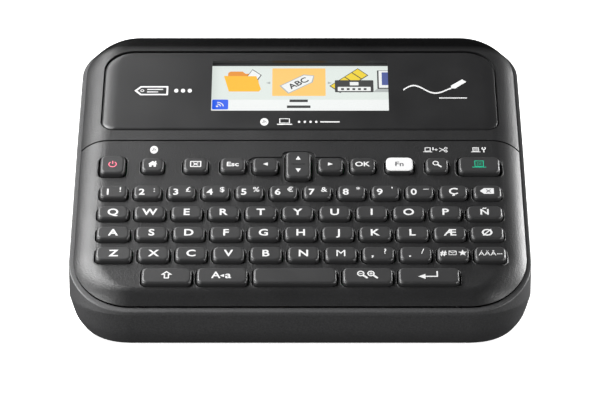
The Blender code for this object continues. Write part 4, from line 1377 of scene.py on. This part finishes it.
def make_legends():
    for name, (draw, ink) in KEY_ICONS.items():
        print_key(name, draw, ink, 0.06 if name == "key_function" else 0.0)
    arrows = Print()
    for direction in (-1, 1):
        arrows.solid(triangle(0, 4.0 * direction - 0.25 * direction, 1.45, 90 * direction))
    place, body = key_place("key_up_down")
    arrows.put("key_up_down_legend", WHITE_INK, place, body, "keys")
    for i, pair in enumerate(NUMBER_LEGENDS):
        print_pair(f"key_row_numbers_{i + 1}", *pair)
    print_letter("key_row_numbers_11", "Ç")
    print_key("key_row_numbers_12", draw_backspace)
    cross = Print()
    for slant in (-1, 1):
        cross.bar(-0.35, -0.85 * slant, 1.35, 0.85 * slant, 0.34, 0.045 + 0.004 * slant)
    place, body = key_place("key_row_numbers_12")
    cross.put("key_row_numbers_12_cross", GREY_INK, place, body, "keys")
    for row, letters in LETTER_ROWS.items():
        for i, letter in enumerate(letters):
            print_letter(f"{row}_{i + 1}", letter)
    print_pair("key_row_lower_8", ",", "?")
    print_pair("key_row_lower_9", ".", "/")
    print_key("key_row_lower_10", draw_symbols)
    print_key("key_row_lower_11", draw_accents)


def waves(ink, x, y, size, level=0.0):
    """A generic wireless sign: a dot with two arcs."""
    ink.disc(x - 0.55 * size, y - 0.55 * size, 0.22 * size, level)
    for radius in (0.62, 1.12):
        ink.ring(x - 0.55 * size, y - 0.55 * size, radius * size, 0.2 * size, 0, 90, level)


OVAL = 1.4  # the signs are drawn tall, because the surfaces lean away from the user
TAG_UP = 34.8
SIGNS_UP = 12.8


def print_cover():
    """Small function signs above three keys, on the keyboard cover."""
    place = deck_frame(0, 0, 0.0)
    homes = {name: next(row for row in KEY_TABLE if row[0] == name) for name in SINGLE_KEYS}
    up = homes["key_home"][4] + homes["key_home"][6] + 6.65
    white = Print()
    white.disc(homes["key_home"][3] + 0.2, up, 1.75, tall=OVAL)
    x = homes["key_search"][3]
    white.frame(x - 3.7, up + 0.25, 1.35, 1.25, 0.36)
    white.bar(x - 5.5, up - 1.35, x - 1.9, up - 1.35, 0.36, 0.004)
    white.bar(x - 1.3, up + 1.2, x - 1.3, up + 0.1, 0.6, 0.004)
    white.bar(x - 0.6, up, x + 0.7, up, 0.32, 0.008)
    white.bar(x + 0.05, up - 0.65, x + 0.05, up + 0.65, 0.32, 0.012)
    for slant in (-1, 1):
        white.bar(x + 1.6, up - 1.1 * slant, x + 4.0, up + 0.7 * slant, 0.34, 0.016 + 0.004 * slant)
        white.ring(x + 4.5, up + 0.95 * slant, 0.55, 0.32, level=0.024 + 0.004 * slant)
    x = homes["key_print"][3] + 0.3
    white.frame(x - 1.3, up + 0.25, 1.45, 1.3, 0.34)
    for i in range(2):
        white.bar(x - 2.2, up + 0.65 - 0.75 * i, x - 0.4, up + 0.65 - 0.75 * i, 0.28, 0.004)
    white.bar(x - 3.2, up - 1.35, x + 0.6, up - 1.35, 0.36, 0.008)
    white.bar(x + 2.3, up - 1.4, x + 2.3, up + 0.3, 0.55, 0.004)
    white.ring(x + 2.3, up + 0.9, 0.75, 0.5, 120, 300, 0.008)
    white.put("cover_signs", WHITE_INK, place, "case", "case")
    dark = Print()
    waves(dark, homes["key_home"][3] + 0.3, up + 0.1, 1.25, 0.045)
    dark.put("cover_wireless_sign", CASE, place, "case", "case")


def print_panel():
    """Generic pictograms on the display panel: a luggage label, a pencil line and two signs."""
    place = display_frame()
    white = Print()
    tag = [(-76.0, 0.0), (-73.2, 3.2), (-60.5, 3.2), (-60.5, -3.2), (-73.2, -3.2)]
    inner = [(-74.8, 0.0), (-72.8, 2.3), (-61.3, 2.3), (-61.3, -2.3), (-72.8, -2.3)]
    white.band([(x, TAG_UP + y) for x, y in tag], [(x, TAG_UP + y) for x, y in inner])
    white.ring(-72.4, TAG_UP, 0.7, 0.35, level=0.004)
    white.bar(-69.9, TAG_UP + 0.9, -63.2, TAG_UP + 0.9, 0.6, 0.004)
    white.bar(-69.9, TAG_UP - 0.9, -65.4, TAG_UP - 0.9, 0.6, 0.004)
    for i in range(3):
        white.disc(-56.8 + 3.1 * i, TAG_UP, 0.95, tall=OVAL)
    curve = []
    for i in range(25):
        t = i / 24
        curve.append((47.5 + 22.0 * t, 35.4 + 3.4 * math.sin(2.2 * math.pi * t) * (1 - 0.45 * t)))
    upper = [(x, y + 0.5) for x, y in curve]
    white.band(upper, [(x, y - 0.5) for x, y in curve], closed=False)
    pencil = [(0.0, 0.0), (1.8, -0.2), (7.0, 4.6), (5.2, 6.4), (-0.1, 1.9)]
    x, y = curve[-1]
    white.solid([(x + a, y + b) for a, b in pencil], 0.004)
    white.bar(64.0, 29.6, 76.0, 29.6, 0.7)
    white.disc(-16.2, SIGNS_UP, 1.85, tall=OVAL)
    white.frame(-7.0, SIGNS_UP + 0.7, 2.4, 1.7, 0.42)
    white.bar(-10.1, SIGNS_UP - 1.7, -3.9, SIGNS_UP - 1.7, 0.7, 0.004)
    for i in range(4):
        white.disc(-0.4 + 2.6 * i, SIGNS_UP, 0.55, tall=OVAL)
    white.bar(9.6, SIGNS_UP, 17.6, SIGNS_UP, 0.8)
    white.put("panel_signs", WHITE_INK, place, "case", "panel")
    dark = Print()
    waves(dark, -16.1, SIGNS_UP + 0.1, 1.3, 0.045)
    dark.put("panel_wireless_sign", CASE, place, "case", "panel")


# The lit screen -------------------------------------------------------------------------------------------
SCREEN_COLOURS = {
    "pale": (0.74, 0.80, 0.76),
    "orange": (1.0, 0.58, 0.14),
    "gold": (1.0, 0.50, 0.005),
    "amber": (0.80, 0.27, 0.005),
    "white": (0.93, 0.94, 0.94),
    "black": (0.012, 0.012, 0.012),
    "grey": (0.42, 0.45, 0.44),
    "yellow": (0.86, 0.64, 0.01),
    "blue": (0.01, 0.10, 0.85),
    "navy": (0.05, 0.08, 0.30),
}
SCREEN_DEPTH = -3.05


def leaning(points, x, y, turn=0.0):
    """Points turned about their origin and moved to (x, y)."""
    t = math.radians(turn)
    return [
        (x + a * math.cos(t) - b * math.sin(t), y + a * math.sin(t) + b * math.cos(t))
        for a, b in points
    ]


def make_screen():
    inks = {name: Print(0.006) for name in SCREEN_COLOURS}
    half, low, high = 43.5, 19.5, 56.2
    inks["pale"].patch(0, (low + 12.5 + high) / 2, half, (high - low - 12.5) / 2, 0.1)
    inks["white"].patch(0, low + 6.25, half, 6.25, 0.1)
    # Painted shade: the black band above the pale field stands in for the shadow of the window recess's top
    # wall.
    inks["black"].patch(0, high + 2.6, half, 2.6, 0.1, 0.012)

    folder_back = [(-7.0, 0.5), (-6.6, 6.6), (-5.6, 7.6), (0.0, 7.6), (1.4, 6.0), (7.0, 6.0), (8.0, -6.5)]
    inks["amber"].solid(leaning(folder_back, -26.6, 44.6), 0.012)
    inks["black"].solid(leaning([(-0.2, 0.1), (5.7, -1.0), (8.3, 4.4), (4.0, 8.6)][::-1], -26.0, 45.2), 0.022)
    inks["white"].solid(leaning([(0.3, 0.4), (5.4, -0.4), (7.8, 4.4), (4.0, 8.1)][::-1], -26.0, 45.2), 0.034)
    folder_front = [(-8.6, 4.4), (6.4, 4.2), (8.6, -5.2), (7.6, -6.8), (-6.2, -6.8)]
    inks["gold"].solid(leaning(folder_front[::-1], -26.6, 44.6), 0.046)

    inks["orange"].patch(-0.5, 44.6, 12.3, 9.9, 0.4, 0.012)
    tag = [(-8.3, -3.0), (4.6, -3.0), (7.9, 0.0), (4.6, 3.0), (-8.3, 3.0)]
    edge = [(x * 1.08, y * 1.18) for x, y in tag]
    inks["grey"].solid(leaning(edge, -0.2, 44.3, 36), 0.024)
    inks["white"].solid(leaning(tag, -0.2, 44.3, 36), 0.036)
    inks["black"].text("ABC", 3.3, -0.9, 43.8, 0.03, 1.1, 0.048, 36)
    inks["black"].patch(-0.6, 31.2, 4.2, 0.9, 0.2, 0.012)
    inks["black"].patch(-0.6, 27.0, 5.4, 0.9, 0.2, 0.012)
    inks["grey"].solid(triangle(-14.5, 44.0, 1.2, 180), 0.012)
    inks["grey"].solid(triangle(13.6, 44.0, 1.2, 0), 0.012)

    strip = [(-9.5, -3.6), (8.0, -3.6), (8.0, 2.6), (-9.5, 2.6)]
    inks["black"].solid(leaning([(x * 1.05, y * 1.14) for x, y in strip], 22.8, 46.6, 44), 0.012)
    inks["yellow"].solid(leaning(strip, 22.8, 46.6, 44), 0.024)
    for i in range(3):
        a = -5.2 + 4.6 * i
        stripe = [(a, -3.6), (a + 0.5, -3.6), (a + 0.5, 2.6), (a, 2.6)]
        inks["black"].solid(leaning(stripe, 22.8, 46.6, 44), 0.036)
    inks["black"].patch(25.0, 41.6, 8.9, 4.3, 0.5, 0.048)
    inks["white"].patch(25.0, 39.6, 7.6, 1.5, 0.3, 0.060)
    for i in range(5):
        inks["black"].patch(19.6 + 2.6 * i, 39.5, 0.65, 0.7, 0.1, 0.072)
    inks["white"].patch(25.0, 43.4, 2.0, 1.2, 0.2, 0.066)

    inks["black"].patch(40.5, 46.4, 4.8, 6.6, 0.3, 0.012)
    inks["white"].patch(40.7, 46.6, 4.3, 6.1, 0.3, 0.024)
    inks["navy"].patch(41.4, 47.0, 3.6, 4.6, 0.2, 0.036)
    inks["grey"].solid([(33.6, 37.4), (44.0, 37.4), (44.0, 39.8), (35.6, 39.8)], 0.012)

    inks["blue"].patch(-36.6, 28.6, 3.7, 3.5, 0.7, 0.012)
    waves(inks["white"], -36.6, 28.7, 2.5, 0.024)
    for name, ink in inks.items():
        surface = SCREEN_WHITE if name == "white" else pixels("screen_" + name, SCREEN_COLOURS[name])
        ink.put("screen_" + name, surface, display_frame(0, 0, SCREEN_DEPTH), "case", "screen")


# Finish of the CAD nodes that stay --------------------------------------------------------------------
def dress_cad_nodes():
    surfaces = {
        "case": LOWER_PAINTED_LIGHT,
        "panel": PANEL,
        "keys": KEYS,
        "white_key": WHITE_KEY,
        "lens": CLEAR,
        "screen": SCREEN_WHITE,
        "rubber": RUBBER,
        "steel": STEEL,
        "heat_sink": HEAT_SINK,
        "board": BOARD,
        "cell": CELL,
        "nylon": NYLON,
        "cassette": CASSETTE,
        "tape": TAPE,
    }
    for part in frame["record"]["subparts"]:
        node = frame["nodes"][part["node"]]
        node.data.materials.clear()
        node.data.materials.append(surfaces[part["material_slot"]])


# Studio -----------------------------------------------------------------------------------------------
def area_light(name, place, target, size, power, colour=(1, 1, 1)):
    light = bpy.data.lights.new(name, "AREA")
    light.shape = "RECTANGLE"
    light.size, light.size_y = size
    light.energy = power
    light.color = colour
    lamp = bpy.data.objects.new(name, light)
    bpy.context.scene.collection.objects.link(lamp)
    lamp.location = place
    aim = Vector(target) - Vector(place)
    lamp.rotation_euler = aim.to_track_quat("-Z", "Y").to_euler()
    return lamp


def make_floor():
    mesh = bmesh.new()
    reach = 6000.0
    corners = ((-reach, -reach, 0), (reach, -reach, 0), (reach, reach, 0), (-reach, reach, 0))
    mesh.faces.new([mesh.verts.new(point) for point in corners])
    made = Nodes("studio_floor")
    made.colour(made.ramp(made.noise(2.0), ((0.2, (0.86, 0.86, 0.86)), (0.8, (0.90, 0.90, 0.90)))))
    made.shader.inputs["Roughness"].default_value = 0.9
    made.shader.inputs["Specular IOR Level"].default_value = 0.0
    made.shader.inputs["Emission Color"].default_value = (1, 1, 1, 1)
    made.shader.inputs["Emission Strength"].default_value = 0.80
    floor = add_piece("studio_floor", mesh, made.material)
    if floor.data.polygons[0].normal.z < 0:
        floor.data.flip_normals()
    floor.visible_glossy = False
    floor.visible_diffuse = False


STUDIO_LIGHTS = (
    ("sky_left", (-0.50, 0.05, 0.60), (0.4, 0.4), 12.0),
    ("back_left", (-0.35, 0.55, 0.70), (0.25, 0.25), 2.4),
    ("side_left", (-1.20, -0.35, 0.15), (0.4, 0.2), 13.0),
    ("rim_right", (0.80, 0.40, 0.27), (0.25, 0.45), 14.0),
    ("low_left", (-1.05, -0.90, 0.25), (0.5, 0.3), 9.0),
    ("low_right", (1.15, -0.60, 0.25), (0.4, 0.3), 11.0),
    ("low_front", (0.1, -1.5, 0.12), (1.6, 0.15), 1.5),
)


def make_studio():
    scene = bpy.context.scene
    scene.view_settings.view_transform = "Standard"
    scene.view_settings.look = "None"
    world = bpy.data.worlds.new("studio")
    scene.world = world
    world.use_nodes = True
    background = world.node_tree.nodes["Background"]
    background.inputs["Color"].default_value = (1, 1, 1, 1)
    background.inputs["Strength"].default_value = 0.05
    for name, place, size, power in STUDIO_LIGHTS:
        area_light(name, place, (0, 0, 0.04), size, power)


def make_camera():
    data = bpy.data.cameras.new("camera")
    data.lens = CAMERA_LENS
    data.sensor_width = 36.0
    camera = bpy.data.objects.new("camera", data)
    bpy.context.scene.collection.objects.link(camera)
    away = Vector((0, -math.cos(CAMERA_ELEVATION), math.sin(CAMERA_ELEVATION)))
    camera.location = (CAMERA_TARGET + away * CAMERA_DISTANCE) * MM
    camera.rotation_euler = (math.pi / 2 - CAMERA_ELEVATION, 0, 0)
    bpy.context.scene.camera = camera


make_camera()
make_studio()
make_floor()
dress_cad_nodes()
make_lower_case()
make_keyboard_cover()
make_display()
make_rear_cover()
make_underside()
make_sockets()
make_insides()
for key in KEY_TABLE:
    make_key(*key)
make_legends()
print_cover()
print_panel()
make_screen()

bpy.context.view_layer.update()
